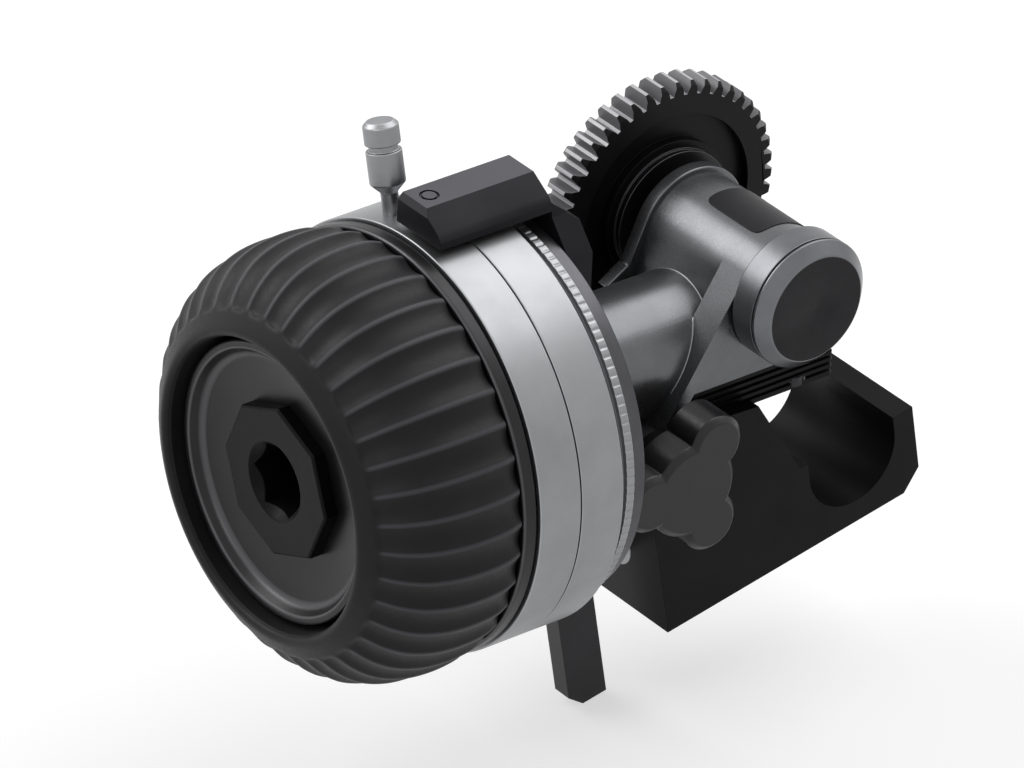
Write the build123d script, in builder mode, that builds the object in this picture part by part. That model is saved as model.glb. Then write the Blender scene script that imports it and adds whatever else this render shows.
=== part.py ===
from build123d import *
import math
import os

os.makedirs("parts", exist_ok=True)

# Lens follow focus on a 15 mm rod. X runs from the hand wheel to the gearbox, Y along the rod
# towards the lens, Z up. The origin is the centre of the rod bore, half way along the clamp.

# Fits, gaps and small edges
running_clearance = 0.03  # on the radius, a shaft in what it turns in
seat_clearance = 0.02  # on the radius, fixed pieces in each other
ring_clearance = 0.05  # on the radius, a stop ring on its drum
side_gap = 0.2  # between faces that move past each other
touch_gap = 0.05  # between a washer and what it bears on
overrun = 1.0  # how far a cut passes the face that it opens
edge_break = 0.3  # broken edge of a turned piece

# Places of the axes
wheel_axis_y = 3.0
wheel_axis_z = 19.5
barrel_axis_x = -12.0
swing_axis_x = -33.5
swing_axis_z = 9.3
rest_tilt = 11.0  # degrees between the gearbox and the clamp's foot in the photographed pose

# Rod clamp, with places along its foot and square to it
rod_diameter = 15.0
grip_clearance = 0.05
clamp_length = 21.8
cheek_thickness = 2.0
clamp_reach = 34.0
clamp_drop = 11.0
hook_wall = 3.5
hook_rise = 2.5
foot_chamfer = 3.0
inner_rise = 3.0
throat_land = 1.35
block_rise = 6.5
cheek_corner_reach = 14.5
cheek_corner_rise = 17.1
eye_r = 5.5

# Clamp screw, plunger and lever
screw_r = 3.0
bushing_r = 4.5
bushing_length = 8.0
plunger_r = 3.45
plunger_length = 9.0
pad_thickness = 1.6
spigot_r = 1.5
spigot_length = 3.0
lever_width = 6.3
lever_thickness = 3.0
lever_reach = 23.6
lever_hub_r = 5.0
lever_gap = 5.0
lever_corner = 2.2
lever_flange_gap = 4.13  # behind the wheel's flange, along X
lever_pin_r = 1.0

# Swing joint and its knob
stud_r = 2.5
swing_boss_r = 4.2
swing_boss_length = 9.4
stud_seat = 7.4
swing_washer_thickness = 0.4
knob_washer_thickness = 0.6
knob_washer_r = 4.6
knob_thickness = 6.0
knob_lobes = 3
knob_lobe_circle_r = 6.9
knob_lobe_r = 4.3
knob_core_r = 7.0
knob_rim_chamfer = 0.8
knob_cap = 1.4
knob_insert_r = 3.6
knob_turn_at_rest = 58.5  # degrees, one lobe from the X axis

# Gears inside: a pair of crossed helical gears, 45 degree teeth, one to one
helical_teeth = 10
helical_pitch_r = 5.0
helical_addendum = 0.55
helical_dedendum = 0.8
helical_tooth = 1.24
helical_width = 6.6
helical_room = 0.65

# Shape of every gear tooth
pressure_angle = 20.0  # degrees
flank_steps = 4
flank_lean_share = 0.75
flank_round_share = 0.5
root_share = 1.25
upward = 90.0  # degrees from the sketch's x to its y

# Shafts and bearings
shaft_r = 3.0
bearing_r = 6.5
bearing_width = 5.0
barrel_bearing_width = 3.5
bearing_land = 0.9
bearing_shield = 0.3

# Gearbox housing
barrel_r = 8.3
barrel_rear = 11.4
barrel_front = 8.5
flank_angle = 57.4  # degrees below the horizontal
flank_wall = 2.0
flank_tail = 1.4  # how far the flank passes the swing axis
flank_depth = 4.9  # along the rod
side_angle = 75.0  # degrees below the horizontal, of the body in front of the flank
flank_step = 0.4
body_drop = 2.0
body_right = 8.0
neck_r = 9.5
neck_spigot_r = 8.5
neck_spigot_length = 8.8
neck_bearing_inset = 16.6
passage_r = 4.0
retainer_groove = 0.4
retainer_width = 0.8
retainer_inner_r = 5.2

# Barrel end cap, front cover and base block
end_cap_r = 9.5
end_cap_length = 6.7
end_cap_chamfer = 1.7
end_cap_groove_inset = 4.7
end_cap_groove = 0.3
end_cap_spigot = 0.8
cover_r = 9.0
cover_width = 2.0
cover_bore = 0.5
cover_angle = 65.9  # degrees below the horizontal
cover_drop = 2.5
cover_foot = 3.8
cover_foot_drop = 2.4
cover_margin = 0.6
base_height = 5.2
base_right = 10.0
base_step = 0.2
base_rib = 0.5
base_rib_count = 4  # grooves on the base block
base_screw_r = 1.0
base_screw_head_r = 1.9
base_screw_head = 1.4
base_screw_grip = 3.2
base_screw_left = 12.6
base_screw_right = 4.0
base_screw_inset = 2.4

# Stop ring drum and its rings
ring_r = 30.3
front_ring_width = 6.7
rear_ring_width = 6.9
shoulder_width = 0.4
ring_wall = 3.3
shoulder_set_back = 2.1
knurl_set_back = 1.4
knurl_width = 2.6
knurl_wall = 1.0
knurl_count = 140
knurl_depth = 0.35
knurl_sides = 4
flange_set_back = 2.3
flange_thickness = 2.4
cone_length = 3.6
cone_r = 14.0
nut_room = 2.0
keeper_thickness = 1.0
keeper_lip = 1.3
keeper_width = 9.5
keeper_screw_count = 4
keeper_screw_inset = 5.0
keeper_screw_r = 1.0
keeper_screw_grip = 5.0
keeper_head_r = 1.8
band_width = 3.0
band_depth = 0.8
nut_r = 12.0
nut_width = 2.4
nut_slot_count = 4
nut_slot_width = 3.0
nut_slot_depth = 1.2

# Index arm over the rings
arm_length = 18.5
arm_height = 4.2
arm_gap = 0.6
arm_front = 3.7
arm_lit_edge = 1.6
arm_bevel_drop = 2.1
arm_bevel_run = 5.0
arm_rear = 5.8
arm_nose = 0.8
arm_leg = 4.0
arm_leg_drop = 11.4  # below the bar
arm_leg_shoulder = 5.0
arm_leg_side = 4.05  # past the bar
arm_leg_side_start = 0.8
arm_leg_side_drop = 4.7
arm_root = 1.3
arm_back_drop = 1.9
arm_dimple_r = 1.35
arm_dimple_width = 0.35
arm_dimple_inset = 3.2
arm_screw_r = 1.0
arm_screw_head_r = 1.9
arm_screw_head = 1.3
arm_screw_pitch = 5.0
arm_screw_drop = 7.4
arm_screw_bite = 1.6

# Stop pin on the front ring
pin_angle = 15.0  # degrees from straight up, towards the lens
pin_shank_r = 1.2
pin_tip_gap = 0.35
pin_neck = 3.1
pin_cone = 1.3
pin_body_r = 2.45
pin_body = 4.5
pin_groove = 0.9
pin_groove_depth = 0.5
pin_cap = 3.2
pin_cap_chamfer = 0.6

# Hand wheel
bezel_width = 2.2
bezel_set_back = 0.4
bezel_chamfer = 0.5
bezel_wall = 9.9
grip_width = 21.2
grip_rise = 0.4
grip_wall = 4.7
grip_lip = 5.4
grip_rear_shares = ((0.0, 0.968), (0.12, 0.99), (0.3, 1.0), (0.5, 0.988), (0.68, 0.948))
grip_nose_shares = ((0.81, 0.885), (0.905, 0.81), (0.965, 0.745), (0.995, 0.7))
grip_flute_count = 40
grip_flute_r = 3.4
grip_flute_depth = 0.9
cap_gap = 0.95
cap_reach = 18.9
cap_thickness = 5.8
cap_rim = 1.1
cap_rim_slope = 0.9
cap_dish = 1.6
cap_floor_margin = 1.0
cap_floor_drop = 0.9
core_groove_depth = 2.5
core_bore_depth = 6.5
core_hub_length = 8.8

# Drive socket for a flexible shaft
socket_boss_r = 11.2
socket_boss_sides = 8
socket_boss_rise = 2.0
socket_shank_r = 7.8
socket_flats = 9.0
socket_depth = 8.4
socket_floor = 0.8
socket_lead = 0.6

# Wheel bolt, in the end of the wheel shaft
bolt_head_r = 3.2
bolt_head = 2.2
bolt_r = 1.5
bolt_length = 8.0

# Drive gear and its hub
gear_teeth = 46
gear_module = 0.8
gear_width = 4.9
gear_start = 14.2
gear_end_chamfer = 0.7
gear_rim = 3.4
gear_recess = 1.4
gear_recess_r = 10.4
hub_flange_r = 9.5
hub_flange_width = 1.6
hub_sleeve_r = 5.0
hub_sleeve = 1.6
hub_spigot_r = 6.0
hub_spigot_short = 0.3
gear_washer_r = 7.6
gear_washer_width = 1.0
hub_screw_head_r = 2.75
hub_screw_head = 2.2
hub_screw_hex = 2.5
hub_screw_length = 8.0

# Derived places
bore_r = rod_diameter / 2 + grip_clearance
clamp_rear_y = -clamp_length / 2
clamp_front_y = clamp_length / 2
tilt_cos = math.cos(math.radians(rest_tilt))
tilt_sin = math.sin(math.radians(rest_tilt))
swing_u = swing_axis_x * tilt_cos + swing_axis_z * tilt_sin
swing_w = swing_axis_z * tilt_cos - swing_axis_x * tilt_sin
barrel_axis_z = wheel_axis_z + 2 * helical_pitch_r
barrel_rear_y = wheel_axis_y - barrel_rear
barrel_front_y = wheel_axis_y + barrel_front
swing_gap = barrel_rear_y - (clamp_rear_y + cheek_thickness)
body_bottom_z = wheel_axis_z - body_drop
body_right_x = barrel_axis_x + body_right
flank_cos = math.cos(math.radians(flank_angle))
flank_sin = math.sin(math.radians(flank_angle))
flank_top_x = barrel_axis_x - barrel_r * flank_sin
flank_top_z = barrel_axis_z + barrel_r * flank_cos
flank_length = (
    (flank_top_x - swing_axis_x) * flank_cos + (flank_top_z - swing_axis_z) * flank_sin + flank_tail
)
flank_low_x = flank_top_x - flank_length * flank_cos
flank_low_z = flank_top_z - flank_length * flank_sin
flank_body_x = flank_top_x - (flank_top_z - body_bottom_z) * flank_cos / flank_sin
neck_root_x = flank_body_x + flank_wall / flank_sin
neck_root_end_x = neck_root_x + flank_wall + passage_r
neck_inner_x = barrel_axis_x - bearing_r
side_cos = math.cos(math.radians(side_angle))
side_sin = math.sin(math.radians(side_angle))
side_top_x = barrel_axis_x - barrel_r * side_sin
side_top_z = barrel_axis_z + barrel_r * side_cos
side_low_x = side_top_x - (side_top_z - body_bottom_z) * side_cos / side_sin
lever_left_u = -clamp_reach - lever_gap - lever_width
flange_back_x = lever_left_u * tilt_cos - lever_flange_gap
neck_x = flange_back_x + cone_length
flange_front_x = flange_back_x - flange_thickness
knurl_back_x = flange_front_x - side_gap
knurl_front_x = knurl_back_x - knurl_width
rear_ring_back_x = knurl_front_x - shoulder_width
rear_ring_front_x = rear_ring_back_x - rear_ring_width
front_ring_back_x = rear_ring_front_x - side_gap
front_ring_front_x = front_ring_back_x - front_ring_width
keeper_back_x = front_ring_front_x + keeper_thickness
bezel_back_x = front_ring_front_x - side_gap
bezel_front_x = bezel_back_x - bezel_width
cap_front_x = bezel_front_x - cap_reach
cap_back_x = cap_front_x + cap_thickness
core_front_x = cap_back_x - core_groove_depth
grip_r = ring_r + grip_rise
grip_core_r = grip_r - grip_wall
grip_mouth_r = grip_core_r - grip_lip
cap_r = grip_mouth_r - cap_gap
cap_floor_r = socket_boss_r + cap_floor_margin
bezel_r = ring_r - bezel_set_back
bezel_bore_r = bezel_r - bezel_wall
neck_end_x = neck_x - neck_spigot_length
drum_r = ring_r - ring_wall
drum_bore_r = nut_r + nut_room
ring_bore_r = drum_r + ring_clearance
shoulder_r = ring_r - shoulder_set_back
knurl_r = ring_r - knurl_set_back
flange_r = ring_r - flange_set_back
keeper_bore_r = drum_r - keeper_width
keeper_screw_circle_r = drum_r - keeper_screw_inset


def across(y):
    """Plane square to the rod at place y, facing back along it: its x is X and its y is Z."""
    return Plane(origin=(0, y, 0), x_dir=(1, 0, 0), z_dir=(0, -1, 0))


def level(y):
    """The same, turned with the clamp: its x runs along the foot, its y square to the foot."""
    return Plane(origin=(0, y, 0), x_dir=(tilt_cos, 0, tilt_sin), z_dir=(0, -1, 0))


def screw_face(u):
    """Plane square to the clamp screw at place u along the foot: its x is Y."""
    return Plane(origin=(u * tilt_cos, 0, u * tilt_sin), x_dir=(0, 1, 0), z_dir=(tilt_cos, 0, tilt_sin))


def wheel_face(x):
    """Plane square to the wheel axis at place x, centred on it: its x is Y and its y is Z."""
    return Plane(origin=(x, wheel_axis_y, wheel_axis_z), x_dir=(0, 1, 0), z_dir=(1, 0, 0))


def barrel_face(y):
    """Plane square to the barrel axis at place y, centred on it: its x is X and its y is Z."""
    return Plane(origin=(barrel_axis_x, y, barrel_axis_z), x_dir=(1, 0, 0), z_dir=(0, -1, 0))


wheel_section = Plane(origin=(0, wheel_axis_y, wheel_axis_z), x_dir=(1, 0, 0), z_dir=(0, -1, 0))
wheel_axis = Axis((0, wheel_axis_y, wheel_axis_z), (1, 0, 0))
barrel_section = Plane(origin=(barrel_axis_x, 0, barrel_axis_z), x_dir=(0, 1, 0), z_dir=(1, 0, 0))
barrel_axis = Axis((barrel_axis_x, 0, barrel_axis_z), (0, 1, 0))
screw_section = Plane(origin=(0, 0, 0), x_dir=(tilt_cos, 0, tilt_sin), z_dir=(0, -1, 0))
screw_axis = Axis((0, 0, 0), (tilt_cos, 0, tilt_sin))


def turned_ring(start, end, inner, outer, broken=0):
    """Points of a plain turned ring, place along the axis and radius, with broken outer edges."""
    return [
        (start, inner),
        (start, outer - broken),
        (start + broken, outer),
        (end - broken, outer),
        (end, outer - broken),
        (end, inner),
    ]


def bearing_points(start, width):
    """Section of a shielded ball bearing of that width whose near face is at start."""
    bore = shaft_r + running_clearance
    rim = bearing_r - seat_clearance
    return [
        (start, bore),
        (start, bore + bearing_land),
        (start + bearing_shield, bore + bearing_land),
        (start + bearing_shield, rim - bearing_land),
        (start, rim - bearing_land),
        (start, rim),
        (start + width, rim),
        (start + width, rim - bearing_land),
        (start + width - bearing_shield, rim - bearing_land),
        (start + width - bearing_shield, bore + bearing_land),
        (start + width, bore + bearing_land),
        (start + width, bore),
    ]


def tooth_points(count, pitch_r, addendum, dedendum, thickness, turn):
    """Outline of a gear with involute-like teeth: each flank leans in by the pressure angle and
    is rounded to the tip. The first tooth points along the turn angle in degrees."""
    lean = math.tan(math.radians(pressure_angle))
    points = []
    for tooth in range(count):
        middle = math.radians(turn) + 2 * math.pi * tooth / count
        flank = []
        for step in range(flank_steps + 1):
            share = step / flank_steps
            r = pitch_r - dedendum + (addendum + dedendum) * share
            lean_share = flank_lean_share + flank_round_share * share
            half = thickness / 2 - (r - pitch_r) * lean * lean_share
            flank.append((r, half / r))
        for r, half in flank:
            points.append((r * math.cos(middle - half), r * math.sin(middle - half)))
        for r, half in reversed(flank):
            points.append((r * math.cos(middle + half), r * math.sin(middle + half)))
    return points


# Rod clamp: block, open saddle for the rod and the cheek that carries the gearbox
throat_share = (block_rise - inner_rise) / (cheek_corner_rise - inner_rise)
throat_x = -(bore_r + throat_land)
throat_block_x = throat_x - (cheek_corner_reach + throat_x) * throat_share
saddle_points = [
    (-clamp_reach, -clamp_drop),
    (bore_r + hook_wall - foot_chamfer, -clamp_drop),
    (bore_r + hook_wall, foot_chamfer - clamp_drop),
    (bore_r + hook_wall, hook_rise),
    (bore_r, hook_rise),
    (bore_r, 0),
    (-bore_r, 0),
    (-bore_r, inner_rise),
    (throat_x, inner_rise),
]
with BuildPart() as clamp_body:
    with BuildSketch(level(clamp_front_y)):
        Polygon(*saddle_points, (throat_block_x, block_rise), (-clamp_reach, block_rise), align=None)
        Circle(bore_r, mode=Mode.SUBTRACT)
    extrude(amount=clamp_length)
    with BuildSketch(level(clamp_rear_y + cheek_thickness)):
        Polygon(
            *saddle_points,
            (-cheek_corner_reach, cheek_corner_rise),
            (swing_u, swing_w + eye_r),
            (swing_u - eye_r, swing_w),
            (-clamp_reach, block_rise),
            align=None,
        )
        with Locations((swing_u, swing_w)):
            Circle(eye_r)
        Circle(bore_r, mode=Mode.SUBTRACT)
        with Locations((swing_u, swing_w)):
            Circle(stud_r + running_clearance, mode=Mode.SUBTRACT)
    extrude(amount=cheek_thickness)
    with BuildSketch(screw_face(-clamp_reach - overrun)):
        Circle(bushing_r)
    extrude(amount=bushing_length + overrun, mode=Mode.SUBTRACT)
    with BuildSketch(screw_face(-clamp_reach)):
        Circle(plunger_r + ring_clearance)
    extrude(amount=clamp_reach, mode=Mode.SUBTRACT)
clamp_body.part.label = "clamp_body"
export_step(clamp_body.part, "parts/clamp_body.step")

with BuildPart() as screw_bushing:
    with BuildSketch(screw_section):
        Polygon(
            *turned_ring(
                -clamp_reach,
                bushing_length - clamp_reach,
                screw_r + running_clearance,
                bushing_r - seat_clearance,
            ),
            align=None,
        )
    revolve(axis=screw_axis)
screw_bushing.part.label = "screw_bushing"
export_step(screw_bushing.part, "parts/screw_bushing.step")

with BuildPart() as swing_washer:
    with BuildSketch(across(barrel_rear_y - (swing_gap - swing_washer_thickness) / 2)):
        with Locations((swing_axis_x, swing_axis_z)):
            Circle(swing_boss_r)
            Circle(stud_r + ring_clearance, mode=Mode.SUBTRACT)
    extrude(amount=swing_washer_thickness)
swing_washer.part.label = "swing_washer"
export_step(swing_washer.part, "parts/swing_washer.step")

# Plunger with its soft face, pushed against the rod by the clamp screw
pad_face_u = -bore_r + grip_clearance / 2
plunger_back_u = pad_face_u - plunger_length
with BuildPart() as clamp_plunger:
    with BuildSketch(screw_section):
        Polygon(
            (plunger_back_u, spigot_r + running_clearance),
            (plunger_back_u, plunger_r - edge_break),
            (plunger_back_u + edge_break, plunger_r),
            (pad_face_u - pad_thickness, plunger_r),
            (pad_face_u - pad_thickness, 0),
            (plunger_back_u + spigot_length + side_gap, 0),
            (plunger_back_u + spigot_length + side_gap, spigot_r + running_clearance),
            align=None,
        )
    revolve(axis=screw_axis)
clamp_plunger.part.label = "clamp_plunger"
export_step(clamp_plunger.part, "parts/clamp_plunger.step")

with BuildPart() as plunger_pad:
    with BuildSketch(screw_face(pad_face_u - pad_thickness)):
        Circle(plunger_r)
    extrude(amount=pad_thickness)
plunger_pad.part.label = "plunger_pad"
export_step(plunger_pad.part, "parts/plunger_pad.step")

# Clamp screw and its lever, which hangs down behind the hand wheel
lever_right_u = lever_left_u + lever_width
lever_mid_u = lever_right_u - lever_width / 2
with BuildPart() as clamp_screw:
    with BuildSketch(screw_section):
        Polygon(
            (lever_left_u, 0),
            (lever_left_u, screw_r),
            (plunger_back_u - touch_gap - edge_break, screw_r),
            (plunger_back_u - touch_gap, screw_r - edge_break),
            (plunger_back_u - touch_gap, spigot_r),
            (plunger_back_u + spigot_length, spigot_r),
            (plunger_back_u + spigot_length, 0),
            align=None,
        )
    revolve(axis=screw_axis)
    with BuildSketch(level(lever_hub_r + overrun)):
        with Locations((lever_mid_u, 0)):
            Circle(lever_pin_r + seat_clearance)
    extrude(amount=2 * (lever_hub_r + overrun), mode=Mode.SUBTRACT)
clamp_screw.part.label = "clamp_screw"
export_step(clamp_screw.part, "parts/clamp_screw.step")

with BuildPart() as clamp_lever:
    with BuildSketch(screw_face(lever_left_u)):
        Circle(lever_hub_r)
    extrude(amount=lever_width)
    with BuildSketch(level(lever_thickness / 2)):
        Polygon(
            (lever_left_u, 0),
            (lever_left_u, lever_corner - lever_reach),
            (lever_left_u + lever_corner, -lever_reach),
            (lever_right_u, -lever_reach),
            (lever_right_u, 0),
            align=None,
        )
    extrude(amount=lever_thickness)
    with BuildSketch(screw_face(lever_left_u - overrun)):
        Circle(screw_r + seat_clearance)
    extrude(amount=lever_width + 2 * overrun, mode=Mode.SUBTRACT)
    with BuildSketch(level(lever_hub_r + overrun)):
        with Locations((lever_mid_u, 0)):
            Circle(lever_pin_r + seat_clearance)
    extrude(amount=2 * (lever_hub_r + overrun), mode=Mode.SUBTRACT)
clamp_lever.part.label = "clamp_lever"
export_step(clamp_lever.part, "parts/clamp_lever.step")

with BuildPart() as lever_pin:
    with BuildSketch(level(lever_hub_r)):
        with Locations((lever_mid_u, 0)):
            Circle(lever_pin_r)
    extrude(amount=2 * lever_hub_r)
lever_pin.part.label = "lever_pin"
export_step(lever_pin.part, "parts/lever_pin.step")

# Gearbox housing: barrel, leaning flank behind it, neck towards the wheel and boss for the stud
helical_r = helical_pitch_r + helical_addendum
gear_room_r = helical_r + helical_room
gear_room_left_x = barrel_axis_x - helical_width / 2 - 2 * retainer_width
gear_room_right_x = barrel_axis_x + helical_width / 2 + 2 * retainer_width + side_gap
neck_bearing_x = barrel_axis_x - neck_bearing_inset
bearing_bore_r = bearing_r
with BuildPart() as housing:
    with BuildSketch(across(barrel_front_y)):
        with Locations((barrel_axis_x, barrel_axis_z)):
            Circle(barrel_r)
        Polygon(
            (side_top_x, side_top_z),
            (side_low_x, body_bottom_z),
            (body_right_x, body_bottom_z),
            (body_right_x, barrel_axis_z),
            (barrel_axis_x, barrel_axis_z),
            align=None,
        )
    extrude(amount=barrel_front_y - barrel_rear_y)
    with BuildSketch(across(barrel_rear_y + flank_depth)):
        Polygon(
            (flank_top_x, flank_top_z),
            (flank_low_x, flank_low_z),
            (flank_low_x + flank_wall * flank_sin, flank_low_z - flank_wall * flank_cos),
            (neck_root_x, body_bottom_z),
            (barrel_axis_x, body_bottom_z),
            (barrel_axis_x, barrel_axis_z),
            align=None,
        )
    extrude(amount=flank_depth)
    with BuildSketch(wheel_face(neck_x)):
        Circle(neck_r)
    extrude(amount=neck_inner_x - neck_x)
    with BuildSketch(across(wheel_axis_y + neck_r + overrun)):
        with Locations((neck_root_end_x + neck_r, wheel_axis_z)):
            Rectangle(2 * neck_r, 2 * neck_r)
    extrude(amount=wheel_axis_y + neck_r + overrun - barrel_front_y, mode=Mode.SUBTRACT)
    with BuildSketch(across(wheel_axis_y + neck_r + overrun)):
        with Locations((neck_root_x + neck_r, body_bottom_z - neck_r)):
            Rectangle(2 * neck_r, 2 * neck_r)
    extrude(amount=2 * (neck_r + overrun), mode=Mode.SUBTRACT)
    with BuildSketch(across(barrel_rear_y + swing_boss_length)):
        with Locations((swing_axis_x, swing_axis_z)):
            Circle(swing_boss_r)
    extrude(amount=swing_boss_length)
    with BuildSketch(wheel_face(neck_end_x)):
        Circle(neck_spigot_r)
    extrude(amount=neck_spigot_length)
    with BuildSketch(across(barrel_rear_y + flank_step)):
        Polygon(
            (flank_top_x + flank_wall * flank_sin, flank_top_z - flank_wall * flank_cos),
            (neck_root_x, body_bottom_z),
            (neck_root_x, body_bottom_z - overrun),
            (body_right_x + overrun, body_bottom_z - overrun),
            (body_right_x + overrun, barrel_axis_z),
            align=None,
        )
        with Locations((barrel_axis_x, barrel_axis_z)):
            Circle(end_cap_r, mode=Mode.SUBTRACT)
    extrude(amount=flank_step + overrun, mode=Mode.SUBTRACT)
    with BuildSketch(barrel_face(barrel_front_y + overrun)):
        Circle(bearing_bore_r)
    extrude(amount=barrel_front_y - barrel_rear_y + 2 * overrun, mode=Mode.SUBTRACT)
    with BuildSketch(wheel_face(gear_room_left_x)):
        Circle(gear_room_r)
    extrude(amount=gear_room_right_x - gear_room_left_x, mode=Mode.SUBTRACT)
    with BuildSketch(wheel_face(neck_bearing_x)):
        Circle(passage_r)
    extrude(amount=neck_bearing_inset, mode=Mode.SUBTRACT)
    with BuildSketch(wheel_face(neck_end_x - overrun)):
        Circle(bearing_bore_r)
    extrude(amount=neck_bearing_x - neck_end_x + overrun, mode=Mode.SUBTRACT)
    with BuildSketch(wheel_face(neck_end_x + retainer_width)):
        Circle(bearing_bore_r + retainer_groove)
    extrude(amount=retainer_width, mode=Mode.SUBTRACT)
    with BuildSketch(across(barrel_rear_y + stud_seat)):
        with Locations((swing_axis_x, swing_axis_z)):
            Circle(stud_r)
    extrude(amount=stud_seat + overrun, mode=Mode.SUBTRACT)
    with BuildSketch(Plane.XY.offset(body_bottom_z - overrun)):
        base_screw_places = [
            (barrel_axis_x - base_screw_left, barrel_rear_y + base_screw_inset),
            (barrel_axis_x - base_screw_left, barrel_front_y - base_screw_inset),
            (barrel_axis_x + base_screw_right, barrel_rear_y + base_screw_inset),
        ]
        with Locations(*base_screw_places):
            Circle(base_screw_r + seat_clearance)
    extrude(amount=base_screw_grip + side_gap + overrun, mode=Mode.SUBTRACT)
housing.part.label = "housing"
export_step(housing.part, "parts/housing.step")

with BuildPart() as end_cap:
    cap_end_y = barrel_rear_y - end_cap_length
    groove_y = barrel_rear_y - end_cap_groove_inset
    with BuildSketch(barrel_section):
        Polygon(
            (barrel_rear_y + end_cap_spigot, 0),
            (barrel_rear_y + end_cap_spigot, bearing_bore_r - seat_clearance),
            (barrel_rear_y, bearing_bore_r - seat_clearance),
            (barrel_rear_y, end_cap_r - end_cap_groove),
            (barrel_rear_y - end_cap_groove, end_cap_r),
            (groove_y + end_cap_groove, end_cap_r),
            (groove_y + end_cap_groove, end_cap_r - end_cap_groove),
            (groove_y, end_cap_r - end_cap_groove),
            (groove_y, end_cap_r),
            (cap_end_y + end_cap_chamfer, end_cap_r),
            (cap_end_y, end_cap_r - end_cap_chamfer),
            (cap_end_y, 0),
            align=None,
        )
    revolve(axis=barrel_axis)
end_cap.part.label = "end_cap"
export_step(end_cap.part, "parts/end_cap.step")

cover_cos = math.cos(math.radians(cover_angle))
cover_sin = math.sin(math.radians(cover_angle))
cover_top_x = barrel_axis_x - cover_r * cover_sin
cover_top_z = barrel_axis_z + cover_r * cover_cos
cover_low_z = barrel_axis_z - cover_drop
cover_low_x = cover_top_x - (cover_top_z - cover_low_z) * cover_cos / cover_sin
with BuildPart() as front_cover:
    with BuildSketch(across(barrel_front_y + cover_width)):
        with Locations((barrel_axis_x, barrel_axis_z)):
            Circle(cover_r)
        Polygon(
            (cover_top_x, cover_top_z),
            (cover_low_x, cover_low_z),
            (cover_low_x - cover_foot, cover_low_z - cover_foot_drop),
            (neck_root_end_x + side_gap, cover_low_z - cover_foot_drop),
            (neck_root_end_x + side_gap, body_bottom_z),
            (body_right_x + cover_margin, body_bottom_z),
            (body_right_x + cover_margin, barrel_axis_z),
            (barrel_axis_x, barrel_axis_z),
            align=None,
        )
        with Locations((barrel_axis_x, barrel_axis_z)):
            Circle(shaft_r + cover_bore, mode=Mode.SUBTRACT)
    extrude(amount=cover_width)
front_cover.part.label = "front_cover"
export_step(front_cover.part, "parts/front_cover.step")

# Base block: closes the gear room from below
base_left_x = neck_root_x + side_gap
base_right_x = barrel_axis_x + base_right
base_rear_y = barrel_rear_y + flank_step + base_step
base_bottom_z = body_bottom_z - base_height
with BuildPart() as base_block:
    with BuildSketch(Plane.XY.offset(base_bottom_z)):
        with Locations(((base_left_x + base_right_x) / 2, (base_rear_y + barrel_front_y) / 2)):
            Rectangle(base_right_x - base_left_x, barrel_front_y - base_rear_y)
    extrude(amount=base_height)
    chamfer(base_block.edges().filter_by(Axis.Z), length=edge_break)
    with BuildSketch(wheel_face(gear_room_left_x)):
        Circle(gear_room_r)
    extrude(amount=gear_room_right_x - gear_room_left_x, mode=Mode.SUBTRACT)
    with BuildSketch(wheel_face(base_left_x - overrun)):
        Circle(passage_r)
    extrude(amount=neck_bearing_inset, mode=Mode.SUBTRACT)
    with BuildSketch(across(base_rear_y)):
        for rib in range(base_rib_count):
            rib_z = base_bottom_z + base_height * (rib + 1) / (base_rib_count + 1)
            with Locations(((base_left_x + base_right_x) / 2, rib_z)):
                Rectangle(base_right_x - base_left_x + 2 * overrun, base_rib)
    extrude(amount=-base_rib, mode=Mode.SUBTRACT)
    with BuildSketch(Plane.XY.offset(base_bottom_z - overrun)):
        with Locations(*base_screw_places):
            Circle(base_screw_r + running_clearance)
    extrude(amount=base_height + 2 * overrun, mode=Mode.SUBTRACT)
    with BuildSketch(Plane.XY.offset(base_bottom_z - overrun)):
        with Locations(*base_screw_places):
            Circle(base_screw_head_r + side_gap)
    extrude(amount=base_screw_head + side_gap + overrun, mode=Mode.SUBTRACT)
base_block.part.label = "base_block"
export_step(base_block.part, "parts/base_block.step")

with BuildPart() as base_screws:
    with BuildSketch(Plane.XY.offset(base_bottom_z + side_gap)):
        with Locations(*base_screw_places):
            Circle(base_screw_head_r)
    extrude(amount=base_screw_head)
    with BuildSketch(Plane.XY.offset(base_bottom_z + side_gap)):
        with Locations(*base_screw_places):
            Circle(base_screw_r)
    extrude(amount=base_height - side_gap + base_screw_grip)
    with BuildSketch(Plane.XY.offset(base_bottom_z + side_gap)):
        with Locations(*base_screw_places):
            RegularPolygon(base_screw_head_r / 2, 6)
    extrude(amount=base_screw_head / 2, mode=Mode.SUBTRACT)
base_screws.part.label = "base_screws"
export_step(base_screws.part, "parts/base_screws.step")

# Bearings of the wheel shaft, with the spacers between them and the retaining ring
front_bearing_x = neck_end_x + 2 * retainer_width + side_gap
with BuildPart() as neck_bearings:
    with BuildSketch(wheel_section):
        Polygon(*bearing_points(front_bearing_x, bearing_width), align=None)
        Polygon(*bearing_points(neck_bearing_x - bearing_width, bearing_width), align=None)
    revolve(axis=wheel_axis)
neck_bearings.part.label = "neck_bearings"
export_step(neck_bearings.part, "parts/neck_bearings.step")

with BuildPart() as bearing_spacer:
    with BuildSketch(wheel_section):
        Polygon(
            *turned_ring(
                front_bearing_x + bearing_width,
                neck_bearing_x - bearing_width,
                bearing_r - bearing_land,
                bearing_r - seat_clearance,
            ),
            align=None,
        )
    revolve(axis=wheel_axis)
bearing_spacer.part.label = "bearing_spacer"
export_step(bearing_spacer.part, "parts/bearing_spacer.step")

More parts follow.
